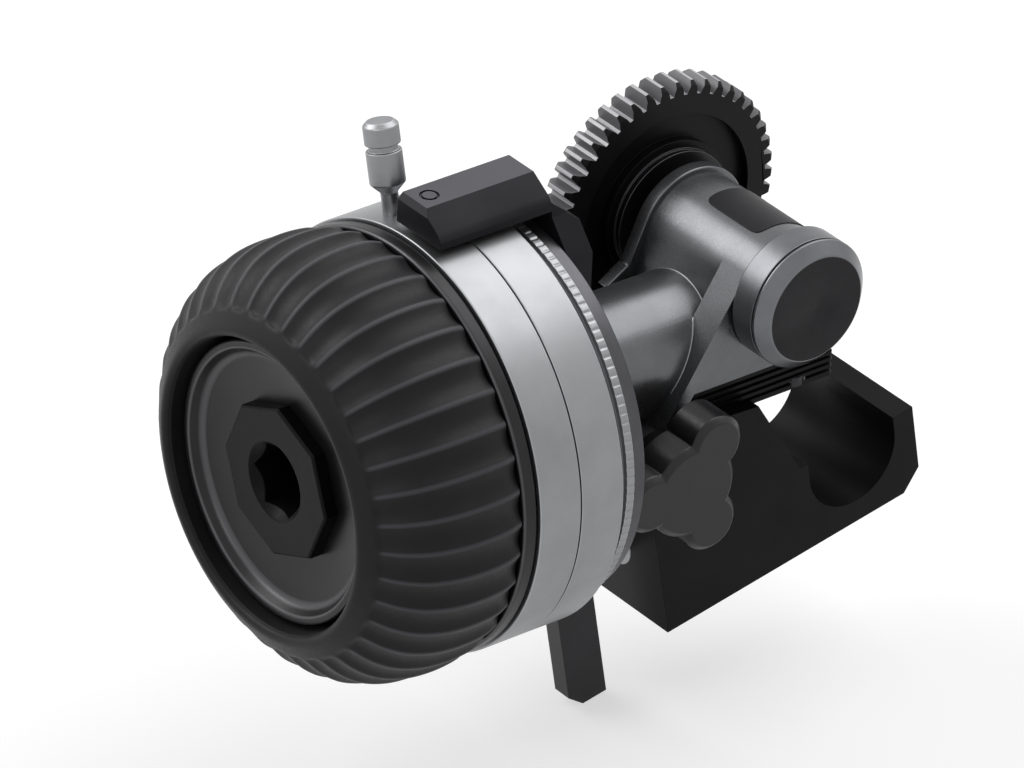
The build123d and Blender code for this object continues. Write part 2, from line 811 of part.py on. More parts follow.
with BuildPart() as retaining_ring:
    with BuildSketch(wheel_section):
        Polygon(
            *turned_ring(
                neck_end_x + retainer_width + seat_clearance,
                neck_end_x + 2 * retainer_width - seat_clearance,
                retainer_inner_r,
                bearing_bore_r + retainer_groove - seat_clearance,
            ),
            align=None,
        )
    revolve(axis=wheel_axis)
    with BuildSketch(wheel_face(neck_end_x)):
        with Locations((0, -bearing_r)):
            Rectangle(bearing_r, bearing_r)
    extrude(amount=neck_spigot_length, mode=Mode.SUBTRACT)
retaining_ring.part.label = "retaining_ring"
export_step(retaining_ring.part, "parts/retaining_ring.step")

with BuildPart() as barrel_bearings:
    with BuildSketch(barrel_section):
        rear_bearing_y = barrel_rear_y + end_cap_spigot + side_gap
        lens_bearing_y = barrel_front_y - side_gap / 2 - barrel_bearing_width
        Polygon(*bearing_points(rear_bearing_y, barrel_bearing_width), align=None)
        Polygon(*bearing_points(lens_bearing_y, barrel_bearing_width), align=None)
    revolve(axis=barrel_axis)
barrel_bearings.part.label = "barrel_bearings"
export_step(barrel_bearings.part, "parts/barrel_bearings.step")

# Drum that carries the stop rings, held on the neck by a ring nut
with BuildPart() as drum:
    with BuildSketch(wheel_section):
        Polygon(
            (keeper_back_x, drum_bore_r),
            (keeper_back_x, drum_r),
            (flange_front_x, drum_r),
            (flange_front_x, flange_r),
            (flange_back_x - edge_break, flange_r),
            (flange_back_x, flange_r - edge_break),
            (flange_back_x, cone_r),
            (neck_x, neck_r + edge_break),
            (neck_x, neck_spigot_r + seat_clearance),
            (flange_front_x, neck_spigot_r + seat_clearance),
            (flange_front_x, drum_bore_r),
            align=None,
        )
        for band_mid_x in (
            (front_ring_front_x + front_ring_back_x) / 2 + keeper_thickness,
            (rear_ring_front_x + rear_ring_back_x) / 2,
        ):
            with Locations((band_mid_x, drum_r - band_depth / 2 + overrun / 2)):
                Rectangle(band_width + 2 * seat_clearance, band_depth + overrun, mode=Mode.SUBTRACT)
    revolve(axis=wheel_axis)
    with BuildSketch(wheel_face(keeper_back_x - overrun)):
        with PolarLocations(keeper_screw_circle_r, keeper_screw_count):
            Circle(keeper_screw_r + seat_clearance)
    extrude(amount=keeper_screw_grip + side_gap + overrun, mode=Mode.SUBTRACT)
    with BuildSketch(wheel_face(flange_back_x + overrun)):
        with Locations((0, ring_r + arm_gap - arm_screw_drop)):
            with GridLocations(arm_screw_pitch, 0, 2, 1):
                Circle(arm_screw_r + seat_clearance)
    extrude(amount=-(flange_thickness + arm_screw_bite + overrun), mode=Mode.SUBTRACT)
drum.part.label = "drum"
export_step(drum.part, "parts/drum.step")

with BuildPart() as friction_bands:
    with BuildSketch(wheel_section):
        for band_mid_x in (
            (front_ring_front_x + front_ring_back_x) / 2 + keeper_thickness,
            (rear_ring_front_x + rear_ring_back_x) / 2,
        ):
            with Locations((band_mid_x, drum_r - (band_depth + seat_clearance) / 2)):
                Rectangle(band_width, band_depth - seat_clearance)
    revolve(axis=wheel_axis)
friction_bands.part.label = "friction_bands"
export_step(friction_bands.part, "parts/friction_bands.step")

with BuildPart() as ring_keeper:
    with BuildSketch(wheel_section):
        Polygon(
            *turned_ring(front_ring_front_x, keeper_back_x, keeper_bore_r, drum_r + keeper_lip),
            align=None,
        )
    revolve(axis=wheel_axis)
    with BuildSketch(wheel_face(front_ring_front_x - overrun)):
        with PolarLocations(keeper_screw_circle_r, keeper_screw_count):
            Circle(keeper_screw_r + running_clearance)
    extrude(amount=keeper_thickness + 2 * overrun, mode=Mode.SUBTRACT)
    with BuildSketch(wheel_face(front_ring_front_x - overrun)):
        with PolarLocations(keeper_screw_circle_r, keeper_screw_count):
            Circle(keeper_head_r + seat_clearance)
    extrude(amount=keeper_thickness / 2 + overrun, mode=Mode.SUBTRACT)
ring_keeper.part.label = "ring_keeper"
export_step(ring_keeper.part, "parts/ring_keeper.step")

with BuildPart() as keeper_screw_set:
    with BuildSketch(wheel_face(front_ring_front_x)):
        with PolarLocations(keeper_screw_circle_r, keeper_screw_count):
            Circle(keeper_head_r)
    extrude(amount=keeper_thickness / 2)
    with BuildSketch(wheel_face(front_ring_front_x)):
        with PolarLocations(keeper_screw_circle_r, keeper_screw_count):
            Circle(keeper_screw_r)
    extrude(amount=keeper_thickness + keeper_screw_grip)
keeper_screw_set.part.label = "keeper_screws"
export_step(keeper_screw_set.part, "parts/keeper_screws.step")

with BuildPart() as drum_nut:
    with BuildSketch(wheel_section):
        Polygon(
            *turned_ring(
                flange_front_x - nut_width,
                flange_front_x,
                neck_spigot_r + seat_clearance,
                nut_r,
                edge_break,
            ),
            align=None,
        )
    revolve(axis=wheel_axis)
    with BuildSketch(wheel_face(flange_front_x - nut_width - overrun)):
        with PolarLocations(nut_r, nut_slot_count):
            Rectangle(2 * nut_slot_depth, nut_slot_width)
    extrude(amount=nut_width + 2 * overrun, mode=Mode.SUBTRACT)
drum_nut.part.label = "drum_nut"
export_step(drum_nut.part, "parts/drum_nut.step")

# Index arm: bar over the rings and a leg screwed to the back of the flange
arm_bottom = ring_r + arm_gap
arm_top = arm_bottom + arm_height
arm_front_x = flange_back_x - arm_length
arm_heel_x = flange_back_x + arm_leg
with BuildPart() as index_arm:
    with BuildSketch(wheel_face(arm_front_x)):
        Polygon(
            (arm_front, arm_bottom),
            (arm_front, arm_top),
            (-arm_lit_edge, arm_top),
            (-arm_bevel_run, arm_top - arm_bevel_drop),
            (-arm_rear, arm_bottom + (arm_height - arm_bevel_drop) / 2),
            (-arm_rear, arm_bottom),
            align=None,
        )
    extrude(amount=arm_length)
    with BuildSketch(wheel_face(flange_back_x)):
        Polygon(
            (arm_leg_shoulder, arm_bottom + arm_root),
            (-arm_rear, arm_bottom + arm_root),
            (-arm_rear, arm_bottom - arm_leg_side_start),
            (-arm_rear - arm_leg_side, arm_bottom - arm_leg_side_start - arm_leg_side_drop),
            (-arm_rear - arm_leg_side, arm_bottom - arm_leg_drop),
            (arm_leg_shoulder, arm_bottom - arm_leg_drop),
            align=None,
        )
    extrude(amount=arm_leg)
    with BuildSketch(wheel_section.offset(arm_rear + overrun)):
        Polygon(
            (arm_heel_x + overrun, arm_bottom - arm_back_drop),
            (arm_heel_x, arm_bottom - arm_back_drop),
            (flange_back_x, arm_bottom + arm_root),
            (flange_back_x, arm_top + overrun),
            (arm_heel_x + overrun, arm_top + overrun),
            align=None,
        )
        Polygon(
            (arm_front_x - overrun, arm_top - arm_nose),
            (arm_front_x, arm_top - arm_nose),
            (arm_front_x + arm_nose, arm_top),
            (arm_front_x + arm_nose, arm_top + overrun),
            (arm_front_x - overrun, arm_top + overrun),
            align=None,
        )
    extrude(amount=-(arm_rear + arm_leg_shoulder + 2 * overrun), mode=Mode.SUBTRACT)
    with BuildSketch(Plane.XY.offset(wheel_axis_z + arm_top + overrun)):
        dimple_y = wheel_axis_y + (arm_front - arm_lit_edge) / 2
        with Locations((arm_front_x + arm_dimple_inset, dimple_y)):
            Circle(arm_dimple_r)
            Circle(arm_dimple_r - arm_dimple_width, mode=Mode.SUBTRACT)
    extrude(amount=-(overrun + arm_dimple_width), mode=Mode.SUBTRACT)
    with BuildSketch(wheel_face(flange_back_x - overrun)):
        with Locations((0, arm_bottom - arm_screw_drop)):
            with GridLocations(arm_screw_pitch, 0, 2, 1):
                Circle(arm_screw_r + running_clearance)
    extrude(amount=arm_leg + 2 * overrun, mode=Mode.SUBTRACT)
    with BuildSketch(wheel_face(arm_heel_x - arm_screw_head)):
        with Locations((0, arm_bottom - arm_screw_drop)):
            with GridLocations(arm_screw_pitch, 0, 2, 1):
                Circle(arm_screw_head_r + side_gap)
    extrude(amount=arm_screw_head + overrun, mode=Mode.SUBTRACT)
index_arm.part.label = "index_arm"
export_step(index_arm.part, "parts/index_arm.step")

with BuildPart() as arm_screws:
    with BuildSketch(wheel_face(flange_back_x - arm_screw_bite)):
        with Locations((0, arm_bottom - arm_screw_drop)):
            with GridLocations(arm_screw_pitch, 0, 2, 1):
                Circle(arm_screw_r)
    extrude(amount=arm_screw_bite + arm_leg - arm_screw_head)
    with BuildSketch(wheel_face(arm_heel_x - arm_screw_head)):
        with Locations((0, arm_bottom - arm_screw_drop)):
            with GridLocations(arm_screw_pitch, 0, 2, 1):
                Circle(arm_screw_head_r)
    extrude(amount=arm_screw_head)
    with BuildSketch(wheel_face(arm_heel_x)):
        with Locations((0, arm_bottom - arm_screw_drop)):
            with GridLocations(arm_screw_pitch, 0, 2, 1):
                RegularPolygon(arm_screw_head_r / 2, 6)
    extrude(amount=-arm_screw_head / 2, mode=Mode.SUBTRACT)
arm_screws.part.label = "arm_screws"
export_step(arm_screws.part, "parts/arm_screws.step")

# Stop rings: the front one carries the pin, the rear one is turned by its knurled band
pin_x = (front_ring_front_x + front_ring_back_x) / 2
pin_cos = math.cos(math.radians(pin_angle))
pin_sin = math.sin(math.radians(pin_angle))
pin_plane = Plane(
    origin=(pin_x, wheel_axis_y, wheel_axis_z), x_dir=(1, 0, 0), z_dir=(0, pin_sin, pin_cos)
)
with BuildPart() as front_stop_ring:
    with BuildSketch(wheel_section):
        Polygon(
            (front_ring_front_x, drum_r + keeper_lip + side_gap),
            (front_ring_front_x, ring_r - edge_break),
            (front_ring_front_x + edge_break, ring_r),
            (front_ring_back_x - edge_break, ring_r),
            (front_ring_back_x, ring_r - edge_break),
            (front_ring_back_x, ring_bore_r),
            (keeper_back_x + side_gap, ring_bore_r),
            (keeper_back_x + side_gap, drum_r + keeper_lip + side_gap),
            align=None,
        )
    revolve(axis=wheel_axis)
    with BuildSketch(pin_plane.offset(drum_r - overrun)):
        Circle(pin_shank_r + running_clearance)
    extrude(amount=ring_r - drum_r + 2 * overrun, mode=Mode.SUBTRACT)
front_stop_ring.part.label = "front_stop_ring"
export_step(front_stop_ring.part, "parts/front_stop_ring.step")

with BuildPart() as rear_stop_ring:
    with BuildSketch(wheel_section):
        Polygon(
            (rear_ring_front_x, ring_bore_r),
            (rear_ring_front_x, ring_r - edge_break),
            (rear_ring_front_x + edge_break, ring_r),
            (rear_ring_back_x - edge_break, ring_r),
            (rear_ring_back_x, ring_r - edge_break),
            (rear_ring_back_x, shoulder_r),
            (knurl_front_x, shoulder_r),
            (knurl_front_x, knurl_r - knurl_wall - seat_clearance),
            (knurl_back_x, knurl_r - knurl_wall - seat_clearance),
            (knurl_back_x, ring_bore_r),
            align=None,
        )
    revolve(axis=wheel_axis)
rear_stop_ring.part.label = "rear_stop_ring"
export_step(rear_stop_ring.part, "parts/rear_stop_ring.step")

with BuildPart() as knurled_ring:
    with BuildSketch(wheel_face(knurl_front_x)):
        Circle(knurl_r)
        Circle(knurl_r - knurl_wall, mode=Mode.SUBTRACT)
        with PolarLocations(knurl_r, knurl_count):
            RegularPolygon(knurl_depth, knurl_sides, mode=Mode.SUBTRACT)
    extrude(amount=knurl_width)
knurled_ring.part.label = "knurled_ring"
export_step(knurled_ring.part, "parts/knurled_ring.step")

# Stop pin, screwed into the front ring
pin_neck_top = ring_r + pin_neck
pin_body_low = pin_neck_top + pin_cone
pin_body_top = pin_body_low + pin_body
pin_cap_low = pin_body_top + pin_groove
pin_top = pin_cap_low + pin_cap
pin_section = Plane(
    origin=(pin_x, wheel_axis_y, wheel_axis_z), x_dir=(1, 0, 0), z_dir=(0, -pin_cos, pin_sin)
)
with BuildPart() as stop_pin:
    with BuildSketch(pin_section):
        Polygon(
            (0, drum_r + pin_tip_gap),
            (pin_shank_r, drum_r + pin_tip_gap),
            (pin_shank_r, pin_neck_top),
            (pin_body_r, pin_body_low),
            (pin_body_r, pin_body_top),
            (pin_body_r - pin_groove_depth, pin_body_top),
            (pin_body_r - pin_groove_depth, pin_cap_low),
            (pin_body_r, pin_cap_low),
            (pin_body_r, pin_top - pin_cap_chamfer),
            (pin_body_r - pin_cap_chamfer, pin_top),
            (0, pin_top),
            align=None,
        )
    revolve(axis=Axis((pin_x, wheel_axis_y, wheel_axis_z), (0, pin_sin, pin_cos)))
stop_pin.part.label = "stop_pin"
export_step(stop_pin.part, "parts/stop_pin.step")

# Hand wheel: core, ribbed grip, bezel, front cap and drive socket
core_bore_r = shaft_r + seat_clearance
with BuildPart() as wheel_core:
    with BuildSketch(wheel_section):
        Polygon(
            (bezel_back_x, core_bore_r),
            (bezel_back_x, bezel_bore_r - seat_clearance),
            (bezel_front_x, bezel_bore_r - seat_clearance),
            (bezel_front_x, grip_core_r - seat_clearance),
            (core_front_x, grip_core_r - seat_clearance),
            (core_front_x, grip_mouth_r),
            (cap_back_x, grip_mouth_r),
            (cap_back_x, socket_shank_r + side_gap),
            (cap_back_x + core_bore_depth, socket_shank_r + side_gap),
            (cap_back_x + core_bore_depth, core_bore_r),
            align=None,
        )
    revolve(axis=wheel_axis)
wheel_core.part.label = "wheel_core"
export_step(wheel_core.part, "parts/wheel_core.step")

grip_front_x = bezel_front_x - grip_width
with BuildPart() as rubber_grip:
    with BuildSketch(wheel_section):
        with BuildLine():
            side_points = [(bezel_front_x - grip_width * a, grip_r * r) for a, r in grip_rear_shares]
            nose_points = [(bezel_front_x - grip_width * a, grip_r * r) for a, r in grip_nose_shares]
            nose_end = (grip_front_x + edge_break, grip_mouth_r)
            Spline(*side_points, *nose_points, nose_end)
            Polyline(
                nose_end,
                (core_front_x, grip_mouth_r),
                (core_front_x, grip_core_r),
                (bezel_front_x, grip_core_r),
                side_points[0],
            )
        make_face()
    revolve(axis=wheel_axis)
    with BuildSketch(wheel_face(bezel_front_x + overrun)):
        with PolarLocations(grip_r - grip_flute_depth + grip_flute_r, grip_flute_count):
            Circle(grip_flute_r)
    extrude(amount=-(grip_width + 2 * overrun), mode=Mode.SUBTRACT)
rubber_grip.part.label = "rubber_grip"
export_step(rubber_grip.part, "parts/rubber_grip.step")

with BuildPart() as bezel_ring:
    with BuildSketch(wheel_section):
        Polygon(
            (bezel_front_x, bezel_bore_r),
            (bezel_front_x, bezel_r - bezel_chamfer),
            (bezel_front_x + bezel_chamfer, bezel_r),
            (bezel_back_x - bezel_chamfer, bezel_r),
            (bezel_back_x, bezel_r - bezel_chamfer),
            (bezel_back_x, bezel_bore_r),
            align=None,
        )
    revolve(axis=wheel_axis)
bezel_ring.part.label = "bezel_ring"
export_step(bezel_ring.part, "parts/bezel_ring.step")

cap_floor_x = cap_front_x + cap_dish + cap_floor_drop
with BuildPart() as front_cap:
    with BuildSketch(wheel_section):
        Polygon(
            (cap_back_x, socket_shank_r + seat_clearance),
            (cap_back_x, cap_r),
            (cap_front_x + edge_break, cap_r),
            (cap_front_x, cap_r - edge_break),
            (cap_front_x, cap_r - cap_rim),
            (cap_front_x + cap_dish, cap_r - cap_rim - cap_rim_slope),
            (cap_floor_x, cap_floor_r),
            (cap_floor_x, socket_shank_r + seat_clearance),
            align=None,
        )
    revolve(axis=wheel_axis)
front_cap.part.label = "front_cap"
export_step(front_cap.part, "parts/front_cap.step")

socket_front_x = cap_floor_x - socket_boss_rise
with BuildPart() as drive_socket:
    with BuildSketch(wheel_face(socket_front_x)):
        RegularPolygon(socket_boss_r, socket_boss_sides)
    extrude(amount=socket_boss_rise)
    chamfer(drive_socket.faces().sort_by(Axis.X)[0].edges(), length=edge_break)
    with BuildSketch(wheel_face(socket_front_x)):
        Circle(socket_shank_r)
    extrude(amount=socket_depth + socket_floor)
    with BuildSketch(wheel_face(socket_front_x - overrun)):
        RegularPolygon(socket_flats / 2, 6, major_radius=False)
    extrude(amount=socket_depth + overrun, mode=Mode.SUBTRACT)
    with BuildSketch(wheel_section):
        Polygon(
            (socket_front_x, 0),
            (socket_front_x, socket_flats / 2 + 2 * socket_lead),
            (socket_front_x + 2 * socket_lead, socket_flats / 2),
            (socket_front_x + 2 * socket_lead, 0),
            align=None,
        )
    revolve(axis=wheel_axis, mode=Mode.SUBTRACT)
drive_socket.part.label = "drive_socket"
export_step(drive_socket.part, "parts/drive_socket.step")

# Wheel shaft with its bolt, spacers, gear and clip
shaft_front_x = bezel_back_x - core_hub_length
shaft_end_x = gear_room_right_x - side_gap
with BuildPart() as wheel_shaft:
    with BuildSketch(wheel_section):
        Polygon(
            (shaft_front_x, bolt_r + seat_clearance),
            (shaft_front_x, shaft_r),
            (shaft_end_x - edge_break, shaft_r),
            (shaft_end_x, shaft_r - edge_break),
            (shaft_end_x, 0),
            (shaft_front_x + bolt_length + side_gap, 0),
            (shaft_front_x + bolt_length + side_gap, bolt_r + seat_clearance),
            align=None,
        )
    revolve(axis=wheel_axis)
wheel_shaft.part.label = "wheel_shaft"
export_step(wheel_shaft.part, "parts/wheel_shaft.step")

with BuildPart() as wheel_bolt:
    with BuildSketch(wheel_section):
        Polygon(
            (shaft_front_x - bolt_head, 0),
            (shaft_front_x - bolt_head, bolt_head_r - edge_break),
            (shaft_front_x - bolt_head + edge_break, bolt_head_r),
            (shaft_front_x, bolt_head_r),
            (shaft_front_x, bolt_r),
            (shaft_front_x + bolt_length, bolt_r),
            (shaft_front_x + bolt_length, 0),
            align=None,
        )
    revolve(axis=wheel_axis)
    with BuildSketch(wheel_face(shaft_front_x - bolt_head)):
        RegularPolygon(bolt_head_r / 2, 6)
    extrude(amount=bolt_head / 2, mode=Mode.SUBTRACT)
wheel_bolt.part.label = "wheel_bolt"
export_step(wheel_bolt.part, "parts/wheel_bolt.step")

with BuildPart() as shaft_sleeves:
    sleeve_bore_r = shaft_r + seat_clearance
    with BuildSketch(wheel_section):
        Polygon(
            *turned_ring(bezel_back_x, front_bearing_x - touch_gap, sleeve_bore_r, passage_r),
            align=None,
        )
        Polygon(
            *turned_ring(
                front_bearing_x + bearing_width + touch_gap,
                neck_bearing_x - bearing_width - touch_gap,
                sleeve_bore_r,
                passage_r,
            ),
            align=None,
        )
        Polygon(
            *turned_ring(
                neck_bearing_x + touch_gap,
                barrel_axis_x - helical_width / 2,
                sleeve_bore_r,
                passage_r - side_gap,
            ),
            align=None,
        )
    revolve(axis=wheel_axis)
shaft_sleeves.part.label = "shaft_sleeves"
export_step(shaft_sleeves.part, "parts/shaft_sleeves.step")

# Crossed helical gears: the teeth of both lie along the same line where they meet
helical_turn = math.degrees(helical_width / helical_pitch_r)
helical_half_step = 180 / helical_teeth
wheel_gear_start = Plane(
    origin=(barrel_axis_x - helical_width / 2, wheel_axis_y, wheel_axis_z),
    x_dir=(0, 1, 0),
    z_dir=(1, 0, 0),
)
with BuildSketch(wheel_gear_start) as wheel_gear_teeth:
    Polygon(
        *tooth_points(
            helical_teeth,
            helical_pitch_r,
            helical_addendum,
            helical_dedendum,
            helical_tooth,
            upward - helical_turn / 2,
        ),
        align=None,
    )
with BuildPart() as wheel_gear:
    add(
        Solid.extrude_linear_with_rotation(
            wheel_gear_teeth.sketch.face(),
            wheel_gear_start.origin,
            wheel_gear_start.z_dir * helical_width,
            helical_turn,
        )
    )
    with BuildSketch(wheel_face(barrel_axis_x - helical_width)):
        Circle(shaft_r + seat_clearance)
    extrude(amount=2 * helical_width, mode=Mode.SUBTRACT)
wheel_gear.part.label = "wheel_gear"
export_step(wheel_gear.part, "parts/wheel_gear.step")

output_gear_start = Plane(
    origin=(barrel_axis_x, wheel_axis_y - helical_width / 2, barrel_axis_z),
    x_dir=(1, 0, 0),
    z_dir=(0, 1, 0),
)
with BuildSketch(output_gear_start) as output_gear_teeth:
    Polygon(
        *tooth_points(
            helical_teeth,
            helical_pitch_r,
            helical_addendum,
            helical_dedendum,
            helical_tooth,
            upward + helical_half_step - helical_turn / 2,
        ),
        align=None,
    )
with BuildPart() as output_gear:
    add(
        Solid.extrude_linear_with_rotation(
            output_gear_teeth.sketch.face(),
            output_gear_start.origin,
            output_gear_start.z_dir * helical_width,
            helical_turn,
        )
    )
    with BuildSketch(barrel_face(wheel_axis_y + helical_width)):
        Circle(shaft_r + seat_clearance)
    extrude(amount=2 * helical_width, mode=Mode.SUBTRACT)
output_gear.part.label = "output_gear"
export_step(output_gear.part, "parts/output_gear.step")

with BuildPart() as gear_clip:
    clip_x = barrel_axis_x + helical_width / 2 + touch_gap
    with BuildSketch(wheel_section):
        Polygon(
            *turned_ring(clip_x, clip_x + retainer_width, shaft_r + seat_clearance, retainer_inner_r),
            align=None,
        )
    revolve(axis=wheel_axis)
    with BuildSketch(wheel_face(clip_x - overrun)):
        with Locations((0, -retainer_inner_r)):
            Rectangle(shaft_r, retainer_inner_r)
    extrude(amount=retainer_width + 2 * overrun, mode=Mode.SUBTRACT)
gear_clip.part.label = "gear_clip"
export_step(gear_clip.part, "parts/gear_clip.step")

# Output shaft with its sleeves, hub, drive gear and screw
drive_gear_y = wheel_axis_y + gear_start
drive_gear_end_y = drive_gear_y + gear_width
hub_flange_y = drive_gear_y - hub_flange_width
hub_start_y = hub_flange_y - hub_sleeve
output_shaft_end_y = drive_gear_end_y - hub_spigot_short
with BuildPart() as output_shaft:
    with BuildSketch(barrel_section):
        Polygon(
            (rear_bearing_y, 0),
            (rear_bearing_y, shaft_r - edge_break),
            (rear_bearing_y + edge_break, shaft_r),
            (output_shaft_end_y, shaft_r),
            (output_shaft_end_y, bolt_r + seat_clearance),
            (output_shaft_end_y - hub_screw_length - side_gap, bolt_r + seat_clearance),
            (output_shaft_end_y - hub_screw_length - side_gap, 0),
            align=None,
        )
    revolve(axis=barrel_axis)
output_shaft.part.label = "output_shaft"
export_step(output_shaft.part, "parts/output_shaft.step")

with BuildPart() as output_sleeve:
    with BuildSketch(barrel_section):
        Polygon(
            *turned_ring(
                rear_bearing_y + barrel_bearing_width + touch_gap,
                wheel_axis_y - helical_width / 2,
                shaft_r + seat_clearance,
                passage_r,
            ),
            align=None,
        )
    revolve(axis=barrel_axis)
output_sleeve.part.label = "output_sleeve"
export_step(output_sleeve.part, "parts/output_sleeve.step")

with BuildPart() as gear_hub:
    with BuildSketch(barrel_section):
        Polygon(
            (hub_start_y, shaft_r + seat_clearance),
            (hub_start_y, hub_sleeve_r),
            (hub_flange_y, hub_sleeve_r),
            (hub_flange_y, hub_flange_r - edge_break),
            (hub_flange_y + edge_break, hub_flange_r),
            (drive_gear_y - edge_break, hub_flange_r),
            (drive_gear_y, hub_flange_r - edge_break),
            (drive_gear_y, hub_spigot_r),
            (drive_gear_end_y - hub_spigot_short, hub_spigot_r),
            (drive_gear_end_y - hub_spigot_short, shaft_r + seat_clearance),
            align=None,
        )
    revolve(axis=barrel_axis)
gear_hub.part.label = "gear_hub"
export_step(gear_hub.part, "parts/gear_hub.step")

gear_pitch_r = gear_module * gear_teeth / 2
gear_tip_r = gear_pitch_r + gear_module
gear_dedendum = root_share * gear_module
gear_root_r = gear_pitch_r - gear_dedendum
with BuildPart() as drive_gear:
    with BuildSketch(barrel_face(drive_gear_end_y)):
        Polygon(
            *tooth_points(
                gear_teeth,
                gear_pitch_r,
                gear_module,
                gear_dedendum,
                math.pi * gear_module / 2,
                0,
            ),
            align=None,
        )
        Circle(hub_spigot_r + seat_clearance, mode=Mode.SUBTRACT)
    extrude(amount=gear_width)
    with BuildSketch(barrel_section):
        Polygon(
            (drive_gear_y - overrun, gear_tip_r - gear_end_chamfer - overrun),
            (drive_gear_y + gear_end_chamfer, gear_tip_r),
            (drive_gear_y + gear_end_chamfer, gear_tip_r + overrun),
            (drive_gear_y - overrun, gear_tip_r + overrun),
            align=None,
        )
        Polygon(
            (drive_gear_end_y + overrun, gear_tip_r - gear_end_chamfer - overrun),
            (drive_gear_end_y - gear_end_chamfer, gear_tip_r),
            (drive_gear_end_y - gear_end_chamfer, gear_tip_r + overrun),
            (drive_gear_end_y + overrun, gear_tip_r + overrun),
            align=None,
        )
        Polygon(
            (drive_gear_y - overrun, gear_recess_r),
            (drive_gear_y + gear_recess, gear_recess_r),
            (drive_gear_y + gear_recess, gear_root_r - gear_rim + edge_break),
            (drive_gear_y - overrun, gear_root_r - gear_rim + edge_break),
            align=None,
        )
        Polygon(
            (drive_gear_end_y + overrun, gear_recess_r),
            (drive_gear_end_y - gear_recess / 2, gear_recess_r),
            (drive_gear_end_y - gear_recess / 2, gear_root_r - gear_rim + edge_break),
            (drive_gear_end_y + overrun, gear_root_r - gear_rim + edge_break),
            align=None,
        )
    revolve(axis=barrel_axis, mode=Mode.SUBTRACT)
drive_gear.part.label = "drive_gear"
export_step(drive_gear.part, "parts/drive_gear.step")

with BuildPart() as gear_washer:
    with BuildSketch(barrel_section):
        Polygon(
            *turned_ring(
                drive_gear_end_y,
                drive_gear_end_y + gear_washer_width,
                bolt_r + running_clearance,
                gear_washer_r,
                edge_break,
            ),
            align=None,
        )
    revolve(axis=barrel_axis)
gear_washer.part.label = "gear_washer"
export_step(gear_washer.part, "parts/gear_washer.step")

with BuildPart() as hub_screw:
    screw_seat_y = drive_gear_end_y + gear_washer_width
    with BuildSketch(barrel_section):
        Polygon(
            (output_shaft_end_y - hub_screw_length, 0),
            (output_shaft_end_y - hub_screw_length, bolt_r),
            (screw_seat_y, bolt_r),
            (screw_seat_y, hub_screw_head_r),
            (screw_seat_y + hub_screw_head - edge_break, hub_screw_head_r),
            (screw_seat_y + hub_screw_head, hub_screw_head_r - edge_break),
            (screw_seat_y + hub_screw_head, 0),
            align=None,
        )
    revolve(axis=barrel_axis)
    with BuildSketch(barrel_face(screw_seat_y + hub_screw_head)):
        RegularPolygon(hub_screw_hex / 2, 6, major_radius=False)
    extrude(amount=hub_screw_head / 2, mode=Mode.SUBTRACT)
hub_screw.part.label = "hub_screw"
export_step(hub_screw.part, "parts/hub_screw.step")

# Swing stud, fixed in the housing, and the knob that locks the swing
knob_front_y = clamp_rear_y - knob_washer_thickness - 2 * touch_gap
knob_rear_y = knob_front_y - knob_thickness
stud_end_y = knob_rear_y + knob_cap
swing_section = Plane(origin=(swing_axis_x, 0, swing_axis_z), x_dir=(0, 1, 0), z_dir=(1, 0, 0))
swing_axis = Axis((swing_axis_x, 0, swing_axis_z), (0, 1, 0))
with BuildPart() as swing_stud:
    with BuildSketch(swing_section):
        Polygon(
            (stud_end_y + side_gap, 0),
            (stud_end_y + side_gap, stud_r - edge_break),
            (stud_end_y + side_gap + edge_break, stud_r),
            (barrel_rear_y + touch_gap, stud_r),
            (barrel_rear_y + touch_gap, stud_r - seat_clearance),
            (barrel_rear_y + stud_seat - side_gap, stud_r - seat_clearance),
            (barrel_rear_y + stud_seat - side_gap, 0),
            align=None,
        )
    revolve(axis=swing_axis)
swing_stud.part.label = "swing_stud"
export_step(swing_stud.part, "parts/swing_stud.step")

with BuildPart() as knob_washer:
    with BuildSketch(swing_section):
        Polygon(
            *turned_ring(
                knob_front_y + touch_gap,
                knob_front_y + touch_gap + knob_washer_thickness,
                stud_r + ring_clearance,
                knob_washer_r,
            ),
            align=None,
        )
    revolve(axis=swing_axis)
knob_washer.part.label = "knob_washer"
export_step(knob_washer.part, "parts/knob_washer.step")

with BuildPart() as lock_knob:
    with BuildSketch(across(knob_front_y)):
        with Locations((swing_axis_x, swing_axis_z)):
            Circle(knob_core_r)
            with PolarLocations(knob_lobe_circle_r, knob_lobes, start_angle=knob_turn_at_rest):
                Circle(knob_lobe_r)
    extrude(amount=knob_thickness)
    chamfer(lock_knob.faces().sort_by(Axis.Y)[0].edges(), length=knob_rim_chamfer)
    with BuildSketch(across(knob_front_y + overrun)):
        with Locations((swing_axis_x, swing_axis_z)):
            Circle(knob_insert_r + seat_clearance)
    extrude(amount=knob_thickness - knob_cap + overrun, mode=Mode.SUBTRACT)
lock_knob.part.label = "lock_knob"
export_step(lock_knob.part, "parts/lock_knob.step")

with BuildPart() as knob_insert:
    with BuildSketch(swing_section):
        Polygon(
            *turned_ring(
                stud_end_y, knob_front_y, stud_r + running_clearance, knob_insert_r, 0
            ),
            align=None,
        )
    revolve(axis=swing_axis)
knob_insert.part.label = "knob_insert"
export_step(knob_insert.part, "parts/knob_insert.step")
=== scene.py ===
"""Follow focus on its rod clamp: fine shapes, finishes, light and camera round the solids."""

import math

import bmesh
import bpy
import numpy as np
from mathutils import Matrix, Vector


